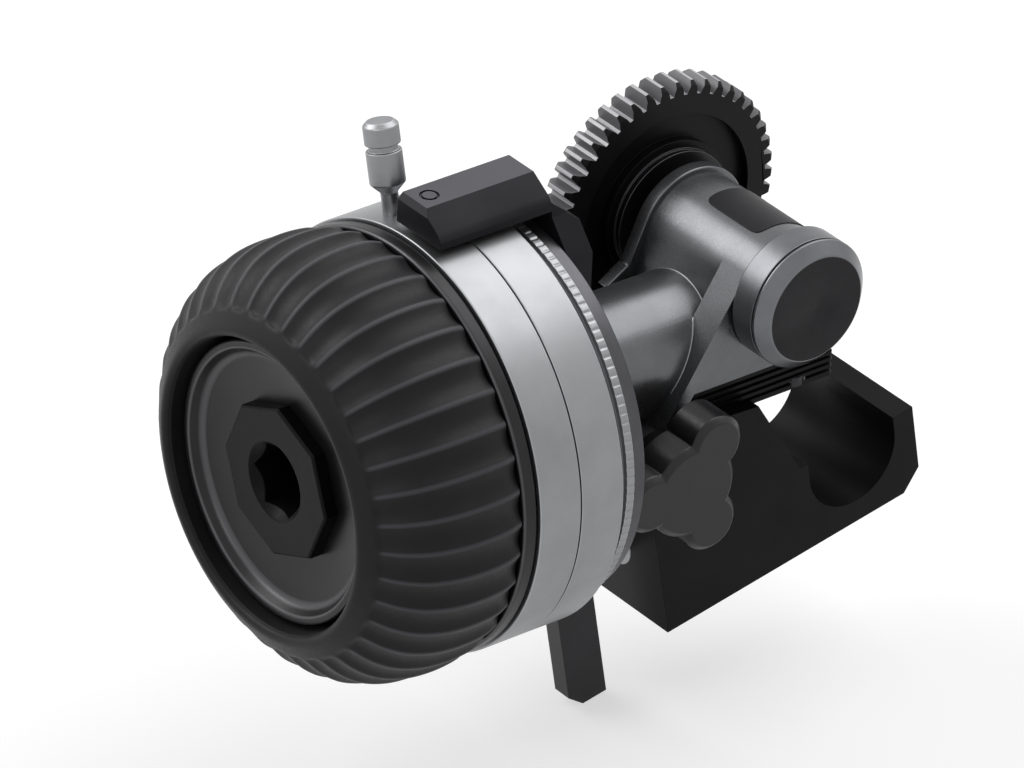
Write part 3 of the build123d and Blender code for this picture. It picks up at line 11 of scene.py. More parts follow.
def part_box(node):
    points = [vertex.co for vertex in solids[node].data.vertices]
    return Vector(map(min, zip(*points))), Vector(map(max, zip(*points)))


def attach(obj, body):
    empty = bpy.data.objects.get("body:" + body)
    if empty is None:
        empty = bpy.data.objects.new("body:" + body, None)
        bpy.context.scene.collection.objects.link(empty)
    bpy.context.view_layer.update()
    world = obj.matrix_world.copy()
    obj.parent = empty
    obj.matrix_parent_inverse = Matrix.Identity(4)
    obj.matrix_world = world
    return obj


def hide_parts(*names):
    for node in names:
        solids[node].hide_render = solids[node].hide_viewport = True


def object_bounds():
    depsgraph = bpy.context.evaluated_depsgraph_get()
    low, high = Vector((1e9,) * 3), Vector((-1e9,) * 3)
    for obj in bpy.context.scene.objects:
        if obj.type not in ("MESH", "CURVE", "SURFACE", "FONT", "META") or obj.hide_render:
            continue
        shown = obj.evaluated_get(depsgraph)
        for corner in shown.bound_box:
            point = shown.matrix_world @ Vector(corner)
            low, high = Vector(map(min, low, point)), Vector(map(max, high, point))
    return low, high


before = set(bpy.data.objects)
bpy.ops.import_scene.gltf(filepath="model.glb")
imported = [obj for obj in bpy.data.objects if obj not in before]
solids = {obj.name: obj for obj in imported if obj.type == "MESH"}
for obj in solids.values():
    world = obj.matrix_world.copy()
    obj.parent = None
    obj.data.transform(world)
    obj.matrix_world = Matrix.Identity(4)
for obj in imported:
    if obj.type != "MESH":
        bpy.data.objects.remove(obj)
solid_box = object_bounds()

MM = 0.001


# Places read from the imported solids, in millimetres

def reach(solid, axis):
    """Lowest and highest place of a solid along one axis."""
    low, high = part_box(solid)
    return low[axis] / MM, high[axis] / MM


def middle_of(solid, axis):
    """Middle of a solid along one axis."""
    return sum(reach(solid, axis)) / 2


def radius_of(solid):
    """Half a turned solid's height, which is its outer radius."""
    low, high = reach(solid, 2)
    return (high - low) / 2


wheel_y = middle_of("bezel_ring", 1)
wheel_z = middle_of("bezel_ring", 2)
barrel_x = middle_of("end_cap", 0)
barrel_z = middle_of("end_cap", 2)
pin_x = middle_of("front_stop_ring", 0)
pin_lean = math.radians(15.0)

# Outer radii of the gearbox housing's barrel and neck
barrel_r = 8.3
neck_r = 9.5

# An axis is its origin, its direction and the two directions square to it
wheel_line = np.array([[0, wheel_y, wheel_z], [1, 0, 0], [0, 1, 0], [0, 0, 1]], float)
barrel_line = np.array([[barrel_x, 0, barrel_z], [0, 1, 0], [0, 0, 1], [1, 0, 0]], float)
pin_line = np.array(
    [
        [pin_x, wheel_y, wheel_z],
        [0, math.sin(pin_lean), math.cos(pin_lean)],
        [1, 0, 0],
        [0, math.cos(pin_lean), -math.sin(pin_lean)],
    ],
    float,
)


# Colours and nodes

# Sockets of a Mix node that is set to colour
mix_share, mix_first, mix_second, mix_result = 0, 6, 7, 2


def linear(hex_colour):
    """Hex colour as written for the screen, turned to linear red, green, blue and full alpha."""
    parts = np.array([int(hex_colour[i:i + 2], 16) for i in (1, 3, 5)]) / 255
    low = parts / 12.92
    high = ((parts + 0.055) / 1.055) ** 2.4
    return (*np.where(parts <= 0.04045, low, high).tolist(), 1.0)


def node(tree, kind, values=(), links=(), **settings):
    """Adds one node, sets its properties and input values, and links its inputs to outputs."""
    new = tree.nodes.new(kind)
    for name, value in settings.items():
        setattr(new, name, value)
    for socket, value in dict(values).items():
        new.inputs[socket].default_value = value
    for socket, output in dict(links).items():
        tree.links.new(output, new.inputs[socket])
    return new


def finish(name, slot_name, values=()):
    """A material with one surface shader and its constant values; the pattern comes after."""
    made = bpy.data.materials.new(name)
    made.use_nodes = True
    tree = made.node_tree
    tree.nodes.clear()
    shader = node(tree, "ShaderNodeBsdfPrincipled", values=values)
    node(tree, "ShaderNodeOutputMaterial", links={"Surface": shader.outputs["BSDF"]})
    made["slot_name"] = slot_name
    return made, tree, shader


def grain(tree, shader, colours, patch, fine, roughness, depth):
    """Cloudy tone and a fine grain on Object coordinates.

    The tone runs between two colours over patches of `patch` mm. The grain is noise of `fine`
    mm, which moves the roughness between two values and lifts the surface by `depth` mm. The
    part of a noise from 0.3 to 0.7 is stretched over the whole of its range. Returns the ramp of
    the tone and the bump of the grain.
    """
    place = node(tree, "ShaderNodeTexCoord").outputs["Object"]
    tone = node(
        tree,
        "ShaderNodeTexNoise",
        values={"Scale": 1 / (patch * MM), "Detail": 4.0, "Roughness": 0.55},
        links={"Vector": place},
    )
    ramp = node(tree, "ShaderNodeValToRGB", links={"Fac": tone.outputs["Fac"]})
    for stop, position, colour in zip(ramp.color_ramp.elements, (0.3, 0.7), colours):
        stop.position = position
        stop.color = linear(colour)
    tree.links.new(ramp.outputs["Color"], shader.inputs["Base Color"])
    specks = node(
        tree,
        "ShaderNodeTexNoise",
        values={"Scale": 1 / (fine * MM), "Detail": 2.0, "Roughness": 0.6},
        links={"Vector": place},
    )
    spread = node(
        tree,
        "ShaderNodeMapRange",
        values={"From Min": 0.3, "From Max": 0.7, "To Min": roughness[0], "To Max": roughness[1]},
        links={"Value": specks.outputs["Fac"]},
    )
    tree.links.new(spread.outputs["Result"], shader.inputs["Roughness"])
    bump = node(
        tree,
        "ShaderNodeBump",
        values={"Strength": 1.0, "Distance": depth * MM},
        links={"Height": specks.outputs["Fac"]},
    )
    tree.links.new(bump.outputs["Normal"], shader.inputs["Normal"])
    return ramp, bump


def turning_marks(tree, shader, bump, pitch, depth):
    """Lathe lines: noise drawn out round the piece, read from its own map of lengths in mm.

    The map runs round the piece in u and along its section in v, so the lines follow any turned
    face. They are about `pitch` mm apart and change only over 250 mm of length, which is more
    than once round. They are added under the fine grain's bump.
    """
    line_length = 250.0
    lay = node(tree, "ShaderNodeUVMap", uv_map="lay").outputs["UV"]
    drawn = node(
        tree,
        "ShaderNodeMapping",
        values={"Scale": (1 / line_length, 1 / pitch, 1)},
        links={"Vector": lay},
    )
    lines = node(
        tree,
        "ShaderNodeTexNoise",
        values={"Scale": 1.0, "Detail": 3.0, "Roughness": 0.7},
        links={"Vector": drawn.outputs["Vector"]},
    )
    under = node(
        tree,
        "ShaderNodeBump",
        values={"Strength": 1.0, "Distance": depth * MM},
        links={"Height": lines.outputs["Fac"]},
    )
    tree.links.new(under.outputs["Normal"], bump.inputs["Normal"])
    along = node(tree, "ShaderNodeTangent", direction_type="UV_MAP", uv_map="lay")
    tree.links.new(along.outputs["Tangent"], shader.inputs["Tangent"])


def worn_and_highlit_edges(tree, shader, ramp, colour, share):
    """Corners painted lighter than the faces, as wear and as a painted highlight: the piece's edge
    attribute mixes a second colour in.
    """
    edge = node(tree, "ShaderNodeAttribute", attribute_name="edge").outputs["Fac"]
    amount = node(
        tree,
        "ShaderNodeMapRange",
        values={"From Min": 0.2, "From Max": 1.0, "To Min": 0.0, "To Max": share},
        links={"Value": edge},
    )
    mix = node(
        tree,
        "ShaderNodeMix",
        values={mix_second: linear(colour)},
        links={mix_share: amount.outputs["Result"], mix_first: ramp.outputs["Color"]},
        data_type="RGBA",
    )
    tree.links.new(mix.outputs[mix_result], shader.inputs["Base Color"])


def painted_highlight_faces(tree, shader, ramp, colour):
    """Painted highlight: faces lighter where the piece's painted_highlight attribute says so, which
    mixes a second colour in. Returns the attribute's output."""
    painted_highlight = node(tree, "ShaderNodeAttribute", attribute_name="painted_highlight").outputs["Fac"]
    mix = node(
        tree,
        "ShaderNodeMix",
        values={mix_second: linear(colour)},
        links={mix_share: painted_highlight, mix_first: ramp.outputs["Color"]},
        data_type="RGBA",
    )
    tree.links.new(mix.outputs[mix_result], shader.inputs["Base Color"])
    return painted_highlight


# Satin black anodised aluminium: a dark oxide skin over bead-blasted metal, soft wide highlights
black_anodised, tree, shader = finish(
    "satin_black_anodised_aluminium",
    "black_anodised",
    {"Metallic": 0.5, "Specular IOR Level": 0.5},
)
grain(tree, shader, ("#18181b", "#212125"), 7.0, 0.22, (0.36, 0.46), 0.004)

# The index arm: the same skin, with its top face painted lighter as a painted highlight
arm_anodised_painted_top, tree, shader = finish(
    "index_arm_black_anodised_painted_top",
    "black_anodised",
    {"Metallic": 0.5, "Specular IOR Level": 0.2},
)
ramp, _ = grain(tree, shader, ("#141417", "#1c1c20"), 7.0, 0.22, (0.4, 0.5), 0.004)
painted_highlight_faces(tree, shader, ramp, "#545459")

# The clamp, the base block and the socket's boss: the same skin, painted darker as painted shade
# for the parts low down
shade_black_anodised, tree, shader = finish(
    "black_anodised_aluminium_painted_shade",
    "black_anodised",
    {"Metallic": 0.5, "Specular IOR Level": 0.12},
)
grain(tree, shader, ("#0b0b0c", "#121214"), 7.0, 0.22, (0.38, 0.48), 0.004)

# The same on turned pieces, with lathe lines and edges painted lighter: wear where the skin is
# thin, and a painted highlight along them
black_turned, tree, shader = finish(
    "turned_black_anodised_aluminium",
    "black_anodised",
    {"Metallic": 0.5, "Anisotropic": 0.5, "Specular IOR Level": 0.5},
)
ramp, bump = grain(tree, shader, ("#161618", "#1f1f21"), 7.0, 0.2, (0.3, 0.4), 0.003)
turning_marks(tree, shader, bump, 0.28, 0.006)
worn_and_highlit_edges(tree, shader, ramp, "#6a6a6d", 0.5)

# Grey anodised aluminium, bead blasted: an even satin grey with a soft metal highlight
grey_anodised, tree, shader = finish(
    "bead_blasted_grey_anodised_aluminium", "grey_anodised", {"Metallic": 0.8}
)
grain(tree, shader, ("#606163", "#6b6c6e"), 6.0, 0.18, (0.26, 0.34), 0.004)

# The drum behind the rings: the same skin, a shade darker
drum_grey, tree, shader = finish(
    "bead_blasted_dark_grey_aluminium", "grey_anodised", {"Metallic": 0.8}
)
grain(tree, shader, ("#4a4a4d", "#555558"), 6.0, 0.18, (0.34, 0.42), 0.004)

# The end cap's side: the same skin on turned metal, with lathe lines round it
grey_turned, tree, shader = finish(
    "turned_grey_anodised_aluminium", "grey_anodised", {"Metallic": 0.85, "Anisotropic": 0.6}
)
ramp, bump = grain(tree, shader, ("#66676a", "#717275"), 6.0, 0.18, (0.28, 0.36), 0.002)
turning_marks(tree, shader, bump, 0.22, 0.008)
# Edges painted lighter: wear, and a painted highlight
worn_and_highlit_edges(tree, shader, ramp, "#8f9093", 0.2)

# The end cap's face: faced on a lathe, so its highlight fans out from the middle; its grey is
# painted dark, a painted shade for the dark reflection on it
shade_darkened_faced, tree, shader = finish(
    "faced_grey_aluminium_painted_dark", "grey_anodised", {"Metallic": 0.85, "Anisotropic": 0.85}
)
_, bump = grain(tree, shader, ("#1b1b1d", "#252527"), 6.0, 0.18, (0.24, 0.32), 0.002)
turning_marks(tree, shader, bump, 0.3, 0.008)

# Clear anodised aluminium, finely turned: bright and silvery, with close lines round it
silver_turned, tree, shader = finish(
    "turned_clear_anodised_aluminium", "silver_aluminium", {"Metallic": 0.9, "Anisotropic": 0.4}
)
ramp, bump = grain(tree, shader, ("#88898b", "#949597"), 9.0, 0.2, (0.32, 0.4), 0.002)
turning_marks(tree, shader, bump, 0.25, 0.004)
# Edges painted lighter: wear, and a painted highlight
worn_and_highlit_edges(tree, shader, ramp, "#d5d6d8", 0.25)

# Moulded rubber: matt and dark, a fine skin grain, crests painted lighter: a little dust from
# handling and a painted highlight along them
grip_rubber, tree, shader = finish(
    "moulded_grip_rubber",
    "grip_rubber",
    {"Specular IOR Level": 0.18, "Sheen Weight": 0.02, "Sheen Roughness": 0.5},
)
ramp, _ = grain(tree, shader, ("#161618", "#1e1e20"), 8.0, 0.35, (0.42, 0.54), 0.012)
worn_and_highlit_edges(tree, shader, ramp, "#58585c", 0.75)

# Acetal gear: dense black plastic with matt moulded faces; the tooth lands get a painted highlight
# in light grey
acetal, tree, shader = finish("moulded_black_acetal", "gear_acetal")
ramp, _ = grain(tree, shader, ("#09090a", "#101011"), 5.0, 0.3, (0.36, 0.46), 0.004)
painted_highlight = painted_highlight_faces(tree, shader, ramp, "#b2b2b6")
# The same mask of painted highlight also raises the specular level on the lands
gloss = node(
    tree, "ShaderNodeMapRange", values={"To Min": 0.12, "To Max": 1.0}, links={"Value": painted_highlight}
)
tree.links.new(gloss.outputs["Result"], shader.inputs["Specular IOR Level"])

# Glass-filled nylon knob: black with a dull mottled skin
knob_nylon, tree, shader = finish(
    "moulded_black_nylon", "knob_plastic", {"Specular IOR Level": 0.38}
)
grain(tree, shader, ("#0d0d0f", "#141416"), 4.0, 0.3, (0.3, 0.42), 0.01)

# Steel: ground shafts, bearings and screws
bright_steel, tree, shader = finish("ground_stainless_steel", "steel", {"Metallic": 1.0})
grain(tree, shader, ("#8d8e91", "#9d9ea0"), 3.0, 0.15, (0.22, 0.34), 0.002)
dark_steel, tree, shader = finish("blackened_screw_steel", "steel", {"Metallic": 0.9})
grain(tree, shader, ("#2c2c2e", "#39393b"), 2.0, 0.12, (0.34, 0.46), 0.002)

# Brass, as turned, and white nylon
turned_brass, tree, shader = finish("turned_brass", "brass", {"Metallic": 1.0})
grain(tree, shader, ("#a98a55", "#b89761"), 3.0, 0.15, (0.28, 0.4), 0.002)
white_nylon, tree, shader = finish("white_nylon", "nylon", {"Specular IOR Level": 0.5})
grain(tree, shader, ("#d9d8d2", "#e2e1dc"), 4.0, 0.3, (0.45, 0.6), 0.004)

# Thin black panel on the barrel: printed, an even flat black
panel_print, tree, shader = finish(
    "black_panel_print", "black_anodised", {"Specular IOR Level": 0.2}
)
grain(tree, shader, ("#0c0c10", "#121217"), 3.0, 0.2, (0.4, 0.5), 0.001)

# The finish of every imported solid, those that a finer piece stands for among them
finish_of = {
    black_anodised: (
        "index_arm clamp_lever bezel_ring gear_hub knurled_ring ring_keeper front_cap"
    ),
    shade_black_anodised: "clamp_body base_block drive_socket",
    grey_anodised: "housing end_cap front_cover",
    drum_grey: "drum",
    silver_turned: "front_stop_ring rear_stop_ring stop_pin wheel_core",
    bright_steel: (
        "clamp_screw lever_pin neck_bearings barrel_bearings retaining_ring bearing_spacer"
        " wheel_shaft wheel_bolt shaft_sleeves wheel_gear output_gear gear_clip output_shaft"
        " output_sleeve gear_washer swing_stud knob_washer drum_nut screw_bushing"
    ),
    dark_steel: "base_screws keeper_screws arm_screws hub_screw",
    grip_rubber: "rubber_grip",
    acetal: "drive_gear",
    white_nylon: "swing_washer friction_bands plunger_pad",
    knob_nylon: "lock_knob",
    turned_brass: "knob_insert clamp_plunger",
}
for material, names in finish_of.items():
    for name in names.split():
        solids[name].data.materials.clear()
        solids[name].data.materials.append(material)


# Shapes

# Points that are this near in mm are merged
merge = 0.002


def place_piece(name, mesh, body, material, stands_for=()):
    """Links a finished mesh, gives it its finish, sets it on a body and hides what it replaces."""
    mesh.materials.append(material)
    piece = bpy.data.objects.new(name, mesh)
    bpy.context.scene.collection.objects.link(piece)
    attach(piece, body)
    if stands_for:
        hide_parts(*stands_for)
    return piece


def grid_mesh(name, points, round_rows, lay, edge):
    """Quads over a grid of points in mm, whose columns always close round the piece.

    Rows close too when round_rows is true. `lay` holds the lengths in mm that become the map,
    one more column (and row) than the points, and `edge` is 1 at eased corners.
    """
    rows, columns = points.shape[:2]
    index = np.arange(rows * columns).reshape(rows, columns)
    if round_rows:
        index = np.vstack([index, index[:1]])
    index = np.hstack([index, index[:, :1]])
    order = np.arange(index.size).reshape(index.shape)
    corners = [(slice(None, -1), slice(None, -1)), (slice(None, -1), slice(1, None))]
    corners += [(slice(1, None), slice(1, None)), (slice(1, None), slice(None, -1))]
    quads = np.stack([index[c] for c in corners], -1).reshape(-1)
    picks = np.stack([order[c] for c in corners], -1).reshape(-1)
    mesh = bpy.data.meshes.new(name)
    mesh.vertices.add(rows * columns)
    mesh.vertices.foreach_set("co", (points * MM).reshape(-1))
    mesh.loops.add(quads.size)
    mesh.loops.foreach_set("vertex_index", quads)
    mesh.polygons.add(quads.size // 4)
    mesh.polygons.foreach_set("loop_start", np.arange(0, quads.size, 4))
    mesh.update(calc_edges=True)
    mesh.uv_layers.new(name="lay").data.foreach_set("uv", lay.reshape(-1, 2)[picks].reshape(-1))
    mesh.attributes.new("edge", "FLOAT", "POINT").data.foreach_set("value", edge.reshape(-1))
    close_mesh(mesh)
    return mesh


def close_mesh(mesh):
    """Merges points that meet, turns every face outwards and shades it smooth."""
    work = bmesh.new()
    work.from_mesh(mesh)
    bmesh.ops.remove_doubles(work, verts=work.verts, dist=merge * MM)
    bmesh.ops.recalc_face_normals(work, faces=work.faces)
    for face in work.faces:
        face.smooth = True
    work.to_mesh(mesh)
    work.free()


def eased(outline, cut, closed):
    """Outline with each corner swapped for a quadratic curve.

    The curve leaves each side `cut` mm before the corner, at most 0.42 of the side: it is
    (1-t)^2 of its start, 2t(1-t) of the corner and t^2 of its end. A held point beyond each end
    keeps the flat beside it flat. A corner that turns by less than 15 degrees stays one point.
    Returns the points and how near each is to a corner, 0 to 1. An open outline keeps its first
    and last points as they are.
    """
    curve_points = 5
    hold = 0.12
    most_cut, most_hold = 0.42, 0.06
    least_turn = math.radians(15)
    corner = np.asarray(outline, float)
    back, fore = np.roll(corner, 1, 0) - corner, np.roll(corner, -1, 0) - corner
    back_length = np.linalg.norm(back, axis=1, keepdims=True)
    fore_length = np.linalg.norm(fore, axis=1, keepdims=True)
    shorter = np.minimum(back_length, fore_length)
    in_line = -math.cos(least_turn) * (back_length * fore_length)[:, 0]
    straight = (back * fore).sum(1) < in_line
    cuts = np.broadcast_to(np.asarray(cut, float), len(corner))[:, None]
    cuts = np.minimum(cuts, most_cut * shorter)
    holds = np.minimum(hold, most_hold * shorter)
    start, end = corner + back / back_length * cuts, corner + fore / fore_length * cuts
    t = np.linspace(0, 1, curve_points)[None, :, None]
    curve = (1 - t) ** 2 * start[:, None] + 2 * t * (1 - t) * corner[:, None] + t**2 * end[:, None]
    before = (start + back / back_length * holds)[:, None]
    after = (end + fore / fore_length * holds)[:, None]
    rounded = np.concatenate([before, curve, after], 1)
    bend = np.concatenate([[0], 4 * t[0, :, 0] * (1 - t[0, :, 0]), [0]])
    points, near = [], []
    for k in range(len(corner)):
        kept = straight[k] or (not closed and k in (0, len(corner) - 1))
        points.append(corner[k:k + 1] if kept else rounded[k])
        near.append(np.zeros(1) if kept else bend)
    return np.concatenate(points), np.concatenate(near)


def turned(
    name, line, outline, body, material, stands_for, cut, columns=192, closed=True, shape=None
):
    """Surface of revolution: each outline point (place along the axis, radius) goes round the line.

    A point is origin + along * place + radius * (side * cos(angle) + up * sin(angle)). `shape`
    may change the place, the radius and the edge, as arrays over the whole grid with the angle.
    """
    section, near = eased(outline, cut, closed)
    angle = np.linspace(0, 2 * math.pi, columns + 1)
    place, angles = np.meshgrid(section[:, 0], angle[:-1], indexing="ij")
    radius = np.broadcast_to(section[:, 1:2], place.shape)
    edge = np.broadcast_to(near[:, None], place.shape)
    if shape:
        place, radius, edge = shape(place, radius, angles, edge)
    origin, along, side, up = line
    outward = np.cos(angles)[..., None] * side + np.sin(angles)[..., None] * up
    points = origin + place[..., None] * along + radius[..., None] * outward
    steps = np.linalg.norm(np.diff(section, axis=0, append=section[:1]), axis=1)
    length = np.concatenate([[0], np.cumsum(steps)])[: len(section) + closed]
    lay_v, lay_u = np.meshgrid(length, angle * section[:, 1].max(), indexing="ij")
    mesh = grid_mesh(name, points, closed, np.stack([lay_u, lay_v], -1), np.array(edge))
    return place_piece(name, mesh, body, material, stands_for)


def bevelled(name, solid, body, material, width, segments=3, angle=30):
    """A copy of a solid with its loose triangles merged, flat areas joined and edges rounded."""
    mesh = solids[solid].data.copy()
    mesh.name = name
    mesh.materials.clear()
    work = bmesh.new()
    work.from_mesh(mesh)
    bmesh.ops.remove_doubles(work, verts=work.verts, dist=merge * MM)
    bmesh.ops.dissolve_limit(
        work, angle_limit=math.radians(1.0), verts=work.verts, edges=work.edges, delimit={"NORMAL"}
    )
    for face in work.faces:
        face.smooth = True
    work.to_mesh(mesh)
    work.free()
    piece = place_piece(name, mesh, body, material, (solid,))
    edge = piece.modifiers.new("rounded edges", "BEVEL")
    edge.width = width * MM
    edge.segments = segments
    edge.limit_method = "ANGLE"
    edge.angle_limit = math.radians(angle)
    edge.use_clamp_overlap = True
    lean = piece.modifiers.new("flat faces stay flat", "WEIGHTED_NORMAL")
    lean.mode = "FACE_AREA"
    lean.weight = 60
    lean.keep_sharp = True
    return piece


def face_vectors(mesh, kind):
    """A mesh's face normals or face centers, one row for each face."""
    values = np.empty(len(mesh.polygons) * 3)
    mesh.polygons.foreach_get(kind, values)
    return values.reshape(-1, 3)


def mark_painted_highlight(mesh, share):
    """Writes each face's share of painted highlight, 0 to 1, into the attribute that finishes read.
    """
    lands = mesh.attributes.new("painted_highlight", "FLOAT", "FACE")
    lands.data.foreach_set("value", share.astype(np.float32))


def smooth_run(points, count):
    """Even run of points on a uniform Catmull-Rom curve through the given ones.

    Between b and c, with a before and d after them, the point at the share f is half of
    2b + (c-a) f + (2a-5b+4c-d) f^2 + (3b-a-3c+d) f^3. Beyond each end of the row stands its
    neighbour, mirrored in the end point.
    """
    held = np.asarray(points, float)
    ends = np.vstack([2 * held[0] - held[1], held, 2 * held[-1] - held[-2]])
    t = np.linspace(0, len(held) - 1, count)
    k = np.minimum(t.astype(int), len(held) - 2)
    f = (t - k)[:, None]
    a, b, c, d = ends[k], ends[k + 1], ends[k + 2], ends[k + 3]
    curved = (2 * a - 5 * b + 4 * c - d) * f**2 + (3 * b - a - 3 * c + d) * f**3
    return 0.5 * (2 * b + (c - a) * f + curved)


# Rubber grip: forty soft ribs that run over the shoulder and fade out on the nose
grip_front, grip_back = reach("rubber_grip", 0)
cap_front, cap_back = reach("front_cap", 0)
grip_r = 30.7
mouth_r = 20.6
core_r = 26.0
seat_x = cap_front + 3.3
rib_count = 40
rib_depth = 0.66
crest_start = 0.8
fade_start, fade_width = 23.9, 1.1


def grip_ribs(place, radius, angles, edge):
    """Forty scalloped flutes. Across one, u runs from 0 in its middle to 1 on the crests beside it,
    and the surface lies u^2 of the way up, turned over into 0.8 - 4 (1 - u)^2 near the crest so
    that it is round there. The depth fades out quickly on the nose. Crests get the edge value,
    which the rubber paints lighter as dust and a painted highlight."""
    u = np.abs(((angles * rib_count / (2 * math.pi) + 0.5) % 1) * 2 - 1)
    rise = np.where(u < crest_start, u**2, crest_start - 4 * (1 - u) ** 2) / crest_start
    flow = np.clip((radius - fade_start) / fade_width, 0, 1)
    flow = flow * flow * (3 - 2 * flow)
    return place, radius - rib_depth * flow * (1 - rise), np.clip(rise * 2 - 1, 0, 1) ** 3 * flow


side = smooth_run(
    [
        (grip_back - 0.25, grip_r * 0.966),
        (grip_back - 2.5, grip_r * 0.99),
        (grip_back - 6.4, grip_r),
        (grip_back - 10.6, grip_r * 0.988),
        (grip_back - 14.4, grip_r * 0.948),
        (grip_back - 17.2, grip_r * 0.885),
        (grip_back - 19.2, grip_r * 0.81),
        (grip_back - 20.5, grip_r * 0.745),
        (grip_front + 0.05, mouth_r + 1.1),
        (grip_front + 0.25, mouth_r + 0.35),
        (grip_front + 0.9, mouth_r),
    ],
    64,
)
inside = [(seat_x, mouth_r), (seat_x, core_r), (grip_back, core_r), (grip_back, grip_r * 0.955)]
turned(
    "grip", wheel_line, np.vstack([side, inside]), "hand_wheel", grip_rubber, ("rubber_grip",),
    cut=0.06, columns=rib_count * 20, shape=grip_ribs,
)

# Front cap: a raised rim round a dished face
cap_r = radius_of("front_cap")
cap_bore = 7.82
dish_x, dish_r = cap_front + 2.5, 12.4
turned(
    "cap", wheel_line,
    [
        (cap_back, cap_bore), (cap_back, cap_r), (cap_front, cap_r), (cap_front, cap_r - 1.1),
        (cap_front + 1.7, cap_r - 2.1), (dish_x, dish_r), (dish_x, cap_bore),
    ],
    "hand_wheel", black_turned, ("front_cap",), cut=(0.2, 0.3, 0.45, 0.3, 1.1, 1.6, 0.1),
)
bevelled("socket", "drive_socket", "hand_wheel", shade_black_anodised, 0.22)

# Bezel between the grip and the stop rings
bezel_front, bezel_back = reach("bezel_ring", 0)
bezel_r = radius_of("bezel_ring")
bezel_bore = 20.0
turned(
    "bezel", wheel_line,
    [
        (bezel_front, bezel_bore), (bezel_front, bezel_r), (bezel_back, bezel_r),
        (bezel_back, bezel_bore),
    ],
    "hand_wheel", black_turned, ("bezel_ring",), cut=0.5,
)

# Stop rings. The corners that face each other are cut less, so that the seam stays fine
ring_bore = 27.05
hidden_cut, rim_cut, seam_cut = 0.07, 0.2, 0.16

ring_front, ring_back = reach("front_stop_ring", 0)
ring_r = radius_of("front_stop_ring")
lip_back, lip_bore = ring_front + 1.2, 28.5
turned(
    "front_stop", wheel_line,
    [
        (ring_front, lip_bore), (ring_front, ring_r), (ring_back, ring_r), (ring_back, ring_bore),
        (lip_back, ring_bore), (lip_back, lip_bore),
    ],
    "front_stop_ring", silver_turned, ("front_stop_ring",),
    cut=(hidden_cut, rim_cut, seam_cut) + (hidden_cut,) * 3,
)

ring_front, ring_back = reach("rear_stop_ring", 0)
ring_r = radius_of("rear_stop_ring")
face_back = ring_front + 6.9
step_back, step_r = face_back + 0.4, 28.2
band_seat_r = 27.88
turned(
    "rear_stop", wheel_line,
    [
        (ring_front, ring_bore), (ring_front, ring_r), (face_back, ring_r), (face_back, step_r),
        (step_back, step_r), (step_back, band_seat_r), (ring_back, band_seat_r),
        (ring_back, ring_bore),
    ],
    "rear_stop_ring", silver_turned, ("rear_stop_ring",),
    cut=(hidden_cut, seam_cut, rim_cut) + (hidden_cut,) * 5,
)

# Knurled band on the rear ring, with a dark groove before it
band_front, band_back = reach("knurled_ring", 0)
band_r = radius_of("knurled_ring")
band_bore = band_r - 0.98
band_groove_r = band_r - 0.75
knurl_front = band_front + 1.3
knurl_count = 140
knurl_depth = 0.2
knurl_taper = 0.3
knurl_slope = 2.6


def straight_knurl(place, radius, angles, edge):
    """Outer face cut by 140 narrow V-shaped grooves. The wave of the angle is 0 in a groove's
    middle and 1 halfway to the next, and the groove rises out in the first 1/2.6 of it. It is
    0.2 mm deep, and 0.3 of that at the two sides of the band."""
    wave = np.abs(((angles * knurl_count / (2 * math.pi) + 0.5) % 1) * 2 - 1)
    outer = (radius > band_r - 0.5).astype(float)
    inward = np.minimum(place - knurl_front, band_back - place)
    taper = np.clip(inward / knurl_taper, 0, 1)
    cut = knurl_depth * outer * (0.3 + 0.7 * taper) * (1 - np.minimum(wave * knurl_slope, 1))
    return place, radius - cut, edge


turned(
    "knurled_band", wheel_line,
    [
        (band_front, band_bore), (band_front, band_groove_r), (knurl_front, band_groove_r),
        (knurl_front, band_r), (knurl_front + 0.35, band_r), (band_back - 0.4, band_r),
        (band_back, band_r), (band_back, band_bore),
    ],
    "rear_stop_ring", silver_turned, ("knurled_ring",),
    cut=(0.1, 0.05, 0.05, 0.1, 0.01, 0.01, 0.25, 0.1),
    columns=knurl_count * 8, shape=straight_knurl,
)

# Stop pin, screwed into the front ring: a shank, a cone and a head with a groove round it
pin_foot, shank_end, head_start, pin_end = 27.35, 33.4, 34.7, 43.3
notch_low, notch_high = 39.2, 40.1
shank_r, head_r, notch_r = 1.2, 2.45, 1.95
pin_chamfer = 0.6
turned(
    "pin", pin_line,
    [
        (pin_foot, 0), (pin_foot, shank_r), (shank_end, shank_r), (head_start, head_r),
        (notch_low, head_r), (notch_low, notch_r), (notch_high, notch_r), (notch_high, head_r),
        (pin_end - pin_chamfer, head_r), (pin_end, head_r - pin_chamfer), (pin_end, 0),
    ],
    "stop_pin", silver_turned, ("stop_pin",), cut=0.14, columns=64, closed=False,
)

# Barrel end cap with a turned face. A recess parts it from the housing, a groove runs round it
cap_low, cap_high = reach("end_cap", 1)
end_r = radius_of("end_cap")
face_r = end_r - 1.8
spigot_r, spigot_low = 6.48, cap_high - 0.8
recess_r, recess_low = end_r - 0.9, cap_high - 1.25
groove_r, groove_low, groove_high = end_r - 0.45, cap_low + 2.0, cap_low + 2.3
turned(
    "end_cap_side", barrel_line,
    [
        (cap_high, 0), (cap_high, spigot_r), (spigot_low, spigot_r), (spigot_low, recess_r),
        (recess_low, recess_r), (recess_low, end_r - 0.1), (recess_low - 0.15, end_r),
        (groove_high, end_r), (groove_high, groove_r), (groove_low, groove_r), (groove_low, end_r),
        (cap_low + 1.7, end_r), (cap_low + 0.1, end_r - 1.6), (cap_low, face_r),
    ],
    "gearbox", grey_turned, ("end_cap",), cut=0.1, columns=160, closed=False,
)
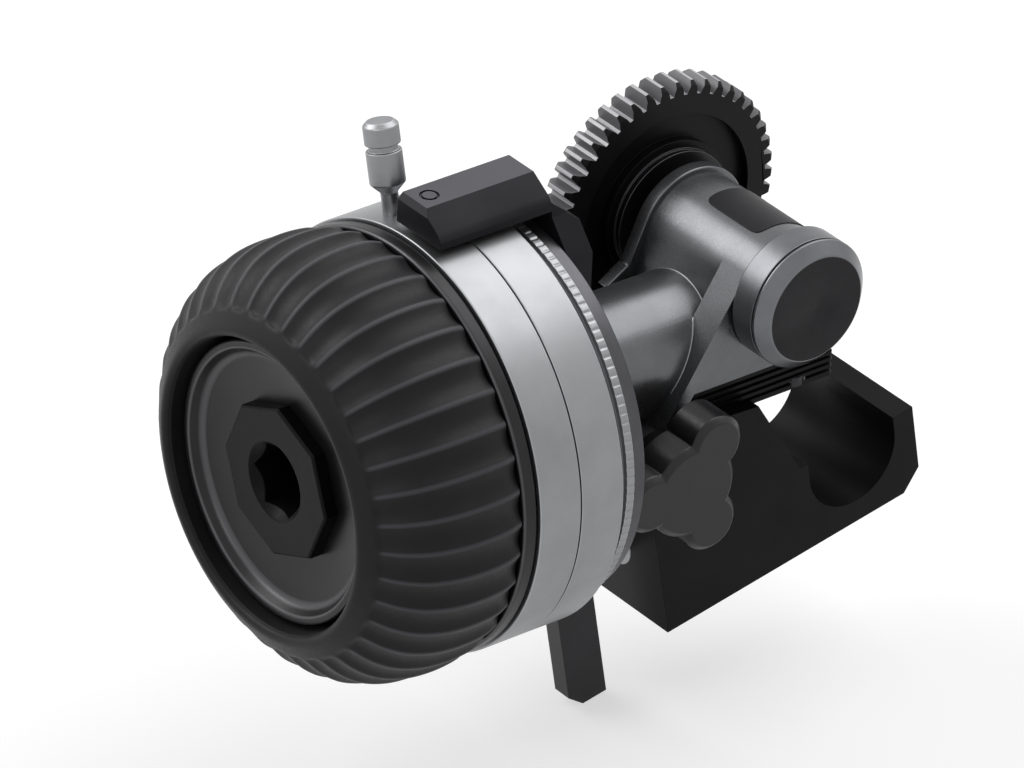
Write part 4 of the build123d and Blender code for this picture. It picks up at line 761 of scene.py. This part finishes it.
turned(
    "end_cap_face", barrel_line,
    [
        (cap_low, face_r), (cap_low, face_r - 0.4), (cap_low, 1.0), (cap_low + 0.08, 0.3),
        (cap_low + 0.08, 0),
    ],
    "gearbox", shade_darkened_faced, ("end_cap",), cut=0.16, columns=160, closed=False,
)

# Gear hub: a flange with a shallow groove round its edge
hub_low, hub_high = reach("gear_hub", 1)
gear_low = reach("drive_gear", 1)[0]
hub_r = radius_of("gear_hub")
hub_bore, collar_r, gear_seat_r = 3.02, 5.0, 6.0
flange_low = gear_low - 1.6
hub_groove_r, hub_groove_low, hub_groove_high = hub_r - 0.25, gear_low - 1.1, gear_low - 0.5
turned(
    "hub", barrel_line,
    [
        (hub_low, hub_bore), (hub_low, collar_r), (flange_low, collar_r), (flange_low, hub_r),
        (hub_groove_low, hub_r), (hub_groove_low, hub_groove_r), (hub_groove_high, hub_groove_r),
        (hub_groove_high, hub_r), (gear_low, hub_r), (gear_low, gear_seat_r),
        (hub_high, gear_seat_r), (hub_high, hub_bore),
    ],
    "drive", black_turned, ("gear_hub",), cut=0.1, columns=128,
)

# Pieces with flat faces keep their solids' shape and get rounded edges
bevelled("gearbox_housing", "housing", "gearbox", grey_anodised, 0.2)
bevelled("gearbox_front_plate", "front_cover", "gearbox", grey_anodised, 0.25)
bevelled("base", "base_block", "gearbox", shade_black_anodised, 0.25)
# The arm's top face is painted lighter: a painted highlight
arm = bevelled("arm", "index_arm", "gearbox", arm_anodised_painted_top, 0.15)
bevelled("clamp", "clamp_body", "rod_clamp", shade_black_anodised, 0.3)
bevelled("lever", "clamp_lever", "clamp_lever", black_anodised, 0.3)
bevelled("knob", "lock_knob", "lock_knob", knob_nylon, 0.4, segments=4, angle=40)
gear = bevelled("gear", "drive_gear", "drive", acetal, 0.08, segments=2)

# The arm's face that gets the painted highlight: the one that looks straight up
level_face = 0.97
mark_painted_highlight(arm.data, face_vectors(arm.data, "normal")[:, 2] > level_face)

# Painted highlight on the gear's lands: faces above the teeth's roots that look away from the axis.
# The flanks of the teeth get a part of it
tooth_zone = 2.2
land_facing, side_facing = 0.8, 0.5
flank_share = 0.35
facing = face_vectors(gear.data, "normal")
from_axis = face_vectors(gear.data, "center") / MM - (barrel_x, 0, barrel_z)
axis_distance = np.hypot(from_axis[:, 0], from_axis[:, 2])
outward = (facing[:, 0] * from_axis[:, 0] + facing[:, 2] * from_axis[:, 2]) / axis_distance
toothed = axis_distance > radius_of("drive_gear") - tooth_zone
toothed &= np.abs(facing[:, 1]) < side_facing
mark_painted_highlight(gear.data, np.where(outward > land_facing, 1.0, flank_share) * toothed)

# Bare dark panel laid round the top of the barrel
panel_low, panel_high = -5.5, 5.8
panel_from, panel_to = math.radians(-21), math.radians(55)
panel_top, panel_under = 0.12, -0.06
panel_rows = 22
panel_corner = 9


def panel_surface():
    """Thin sheet on the barrel. In direction f from its middle the edge is (|cos f|^9 + |sin f|^9)
    to the power -1/9 of half the sheet, a rounded rectangle. Rows run out along the top, down the
    side and back below the barrel's skin. Along the sheet is y and across it the angle round the
    barrel."""
    f = np.linspace(0, 2 * math.pi, 193)
    run_out = np.linspace(0, 0.985, panel_rows)
    share = np.concatenate([run_out, [0.995, 1, 1], run_out[::-1]])[:, None]
    top, under = np.full(panel_rows, panel_top), np.full(panel_rows, panel_under)
    height = np.concatenate([top, [0.11, 0.09, panel_under], under])[:, None]
    rim = (np.abs(np.cos(f)) ** panel_corner + np.abs(np.sin(f)) ** panel_corner)
    rim = rim ** (-1 / panel_corner)
    middle_y, half_y = (panel_low + panel_high) / 2, (panel_high - panel_low) / 2
    middle_turn, half_turn = (panel_from + panel_to) / 2, (panel_to - panel_from) / 2
    along = share * rim * np.cos(f) * half_y + middle_y
    turn = share * rim * np.sin(f) * half_turn + middle_turn
    radius = barrel_r + height
    x, z = barrel_x + radius * np.sin(turn), barrel_z + radius * np.cos(turn)
    return np.stack([x, along, z], -1)[:, :-1], np.stack([along, turn * barrel_r], -1)


points, lay = panel_surface()
panel_mesh = grid_mesh("panel", points, False, lay, np.zeros(points.shape[:2]))
place_piece("panel", panel_mesh, "gearbox", panel_print)


# Fine bead where the neck leaves the gearbox body, bright silver as a painted highlight on the
# fillet.
# Each flank of the body is a slope that starts at one x and z, and the bead follows it between two
# angles round the neck, in degrees
bead_r = 0.16
far_x, far_top, far_slope = -20.02, 31.65, 0.268
near_x, near_top, near_slope = -18.99, 33.97, 0.6395
far_from, corner_turn, near_to = 63.5, -43.2, -102.2
glint_drops = ((4, 3), (117, 4))
glint_swell = 0.9


def bead_surface():
    """Round bead along the line where the neck, a cylinder about the wheel's axis, meets the
    gearbox's flanks. Round the neck the place is its radius times the sine and cosine of the
    angle; along it, each flank gives x = start - (top - z) * slope. The line's corners are
    smoothed over seven points, a drop swells it at the far end and at the corner as a painted
    glint, by bell curves of the point's number, and its ends close to a point."""
    far = np.radians(np.linspace(far_from, corner_turn, 110))
    near = np.radians(np.linspace(corner_turn, near_to, 70))
    along_far = far_x - (far_top - wheel_z - neck_r * np.cos(far)) * far_slope
    along_near = near_x - (near_top - wheel_z - neck_r * np.cos(near)) * near_slope
    step = np.linspace(along_far[-1], along_near[0], 16)[1:-1]
    turn = np.concatenate([far, np.full(len(step), far[-1]), near])
    x = np.concatenate([along_far, step, along_near])
    path = np.stack([x, wheel_y + neck_r * np.sin(turn), wheel_z + neck_r * np.cos(turn)], 1)
    padded = np.pad(path, ((3, 3), (0, 0)), "edge")
    path = sum(padded[k:k + len(path)] for k in range(7)) / 7
    out = np.stack([np.zeros(len(turn)), np.sin(turn), np.cos(turn)], 1)
    along = np.gradient(path, axis=0)
    along /= np.linalg.norm(along, axis=1, keepdims=True)
    across = np.cross(along, out)
    across /= np.linalg.norm(across, axis=1, keepdims=True)
    order = np.arange(len(path))
    swell = sum(glint_swell * np.exp(-(((order - at) / width) ** 2)) for at, width in glint_drops)
    thick = bead_r * (1 + swell)
    thick[[0, -1]] = 0
    f = np.linspace(0, 2 * math.pi, 17)
    ring = np.cos(f)[None, :, None] * out[:, None] + np.sin(f)[None, :, None] * across[:, None]
    points = path[:, None] + thick[:, None, None] * ring
    steps = np.linalg.norm(np.diff(path, axis=0), axis=1)
    lay_u, lay_v = np.meshgrid(np.concatenate([[0], np.cumsum(steps)]), f * bead_r, indexing="ij")
    return points[:, :-1], np.stack([lay_u, lay_v], -1)


points, lay = bead_surface()
bead_mesh = grid_mesh("neck_highlight_bead", points, False, lay, np.zeros(points.shape[:2]))
# The bead's silver on the grey housing is a painted highlight
place_piece("neck_highlight_bead", bead_mesh, "gearbox", silver_turned)


# Floor, light and camera

object_middle = (-42, 3, 18)


def lamp(name, toward, distance, size, glow):
    """A square softbox that stands `distance` mm from the object's middle, in the direction
    `toward`, and faces it. Its watts are `glow` times pi times its area in square metres, so that
    its face is as bright at any size."""
    light = bpy.data.lights.new(name, "AREA")
    light.shape = "SQUARE"
    light.size = size * MM
    light.energy = glow * math.pi * (size * MM) ** 2
    holder = bpy.data.objects.new(name, light)
    bpy.context.scene.collection.objects.link(holder)
    aim = Vector(object_middle) * MM
    spot = aim + Vector(toward).normalized() * distance * MM
    facing = (aim - spot).to_track_quat("-Z", "Y").to_matrix().to_4x4()
    holder.matrix_world = Matrix.Translation(spot) @ facing


def seen_rays(tree):
    """1 for rays from the camera, through glass and off gloss, which see the pale background, and
    0 for the rays that light matt faces."""
    ray = node(tree, "ShaderNodeLightPath").outputs
    direct = node(
        tree, "ShaderNodeMath", operation="MAXIMUM",
        links={0: ray["Is Camera Ray"], 1: ray["Is Transmission Ray"]},
    )
    seen = node(
        tree, "ShaderNodeMath", operation="MAXIMUM",
        links={0: direct.outputs["Value"], 1: ray["Is Glossy Ray"]},
    )
    return seen.outputs["Value"]


floor_z = solid_box[0][2]
floor_half = 6.0
floor_mesh = bpy.data.meshes.new("floor")
floor_mesh.from_pydata(
    [
        (-floor_half, -floor_half, floor_z), (floor_half, -floor_half, floor_z),
        (floor_half, floor_half, floor_z), (-floor_half, floor_half, floor_z),
    ],
    [],
    [(0, 1, 2, 3)],
)
floor = bpy.data.objects.new("floor", floor_mesh)
bpy.context.scene.collection.objects.link(floor)

# Pale studio floor: matt, with a glow that only seen rays add, and the object's shadow on it
floor_paint = bpy.data.materials.new("pale_studio_floor")
floor_paint.use_nodes = True
tree = floor_paint.node_tree
tree.nodes.clear()
seen = seen_rays(tree)
matt = node(tree, "ShaderNodeBsdfDiffuse", values={"Color": linear("#bcbcbc")})
glow = node(tree, "ShaderNodeEmission", values={"Color": linear("#ffffff"), "Strength": 0.58})
both = node(
    tree, "ShaderNodeAddShader", links={0: matt.outputs["BSDF"], 1: glow.outputs["Emission"]}
)
mixed = node(
    tree, "ShaderNodeMixShader", links={0: seen, 1: matt.outputs["BSDF"], 2: both.outputs["Shader"]}
)
node(tree, "ShaderNodeOutputMaterial", links={"Surface": mixed.outputs["Shader"]})
floor_mesh.materials.append(floor_paint)

# White all round for seen rays, and a weak even light for the rest
world = bpy.data.worlds.new("studio")
bpy.context.scene.world = world
world.use_nodes = True
tree = world.node_tree
tree.nodes.clear()
strength = node(
    tree, "ShaderNodeMapRange", values={"To Min": 0.3, "To Max": 1.0},
    links={"Value": seen_rays(tree)},
)
sky = node(
    tree, "ShaderNodeBackground", values={"Color": linear("#ffffff")},
    links={"Strength": strength.outputs["Result"]},
)
node(tree, "ShaderNodeOutputWorld", links={"Surface": sky.outputs["Background"]})

lamp("key softbox", (0.56, 0.02, 0.83), 800, 700, 2.4)
lamp("back softbox", (-0.42, 0.66, 0.62), 800, 470, 4.4)
lamp("left softbox", (-0.8, -0.25, 0.52), 700, 240, 2.6)

scene = bpy.context.scene
scene.view_settings.view_transform = "Standard"

# The photograph's own viewing angle, from the same place, with a longer lens turned to the
# object. The place is so many mm back, right and down from the gearbox's middle
azimuth, elevation, roll = (math.radians(a) for a in (-43.86, 34.93, 5.34))
gearbox_middle = Vector((-12, 3, 19.5))
stand_back, stand_right, stand_down = 1233.8, 48.8, 102.6
aim_left, aim_up = 0.0634, 0.0758
back = Vector(
    (
        math.sin(azimuth) * math.cos(elevation),
        -math.cos(azimuth) * math.cos(elevation),
        math.sin(elevation),
    )
)
level_right = Vector((math.cos(azimuth), math.sin(azimuth), 0))
level_up = back.cross(level_right)
right = level_right * math.cos(roll) + level_up * math.sin(roll)
up = level_up * math.cos(roll) - level_right * math.sin(roll)
stand = (gearbox_middle + back * stand_back + right * stand_right - up * stand_down) * MM
look = (-back - right * aim_left + up * aim_up).normalized()
side_axis = look.cross(up).normalized()
up_axis = side_axis.cross(look)
camera_turn = Matrix((side_axis, up_axis, -look)).transposed()

camera_data = bpy.data.cameras.new("camera")
camera_data.sensor_width = 36
camera_data.lens = 320
camera_data.clip_start = 0.05
camera = bpy.data.objects.new("camera", camera_data)
scene.collection.objects.link(camera)
camera.matrix_world = Matrix.Translation(stand) @ camera_turn.to_4x4()
scene.camera = camera
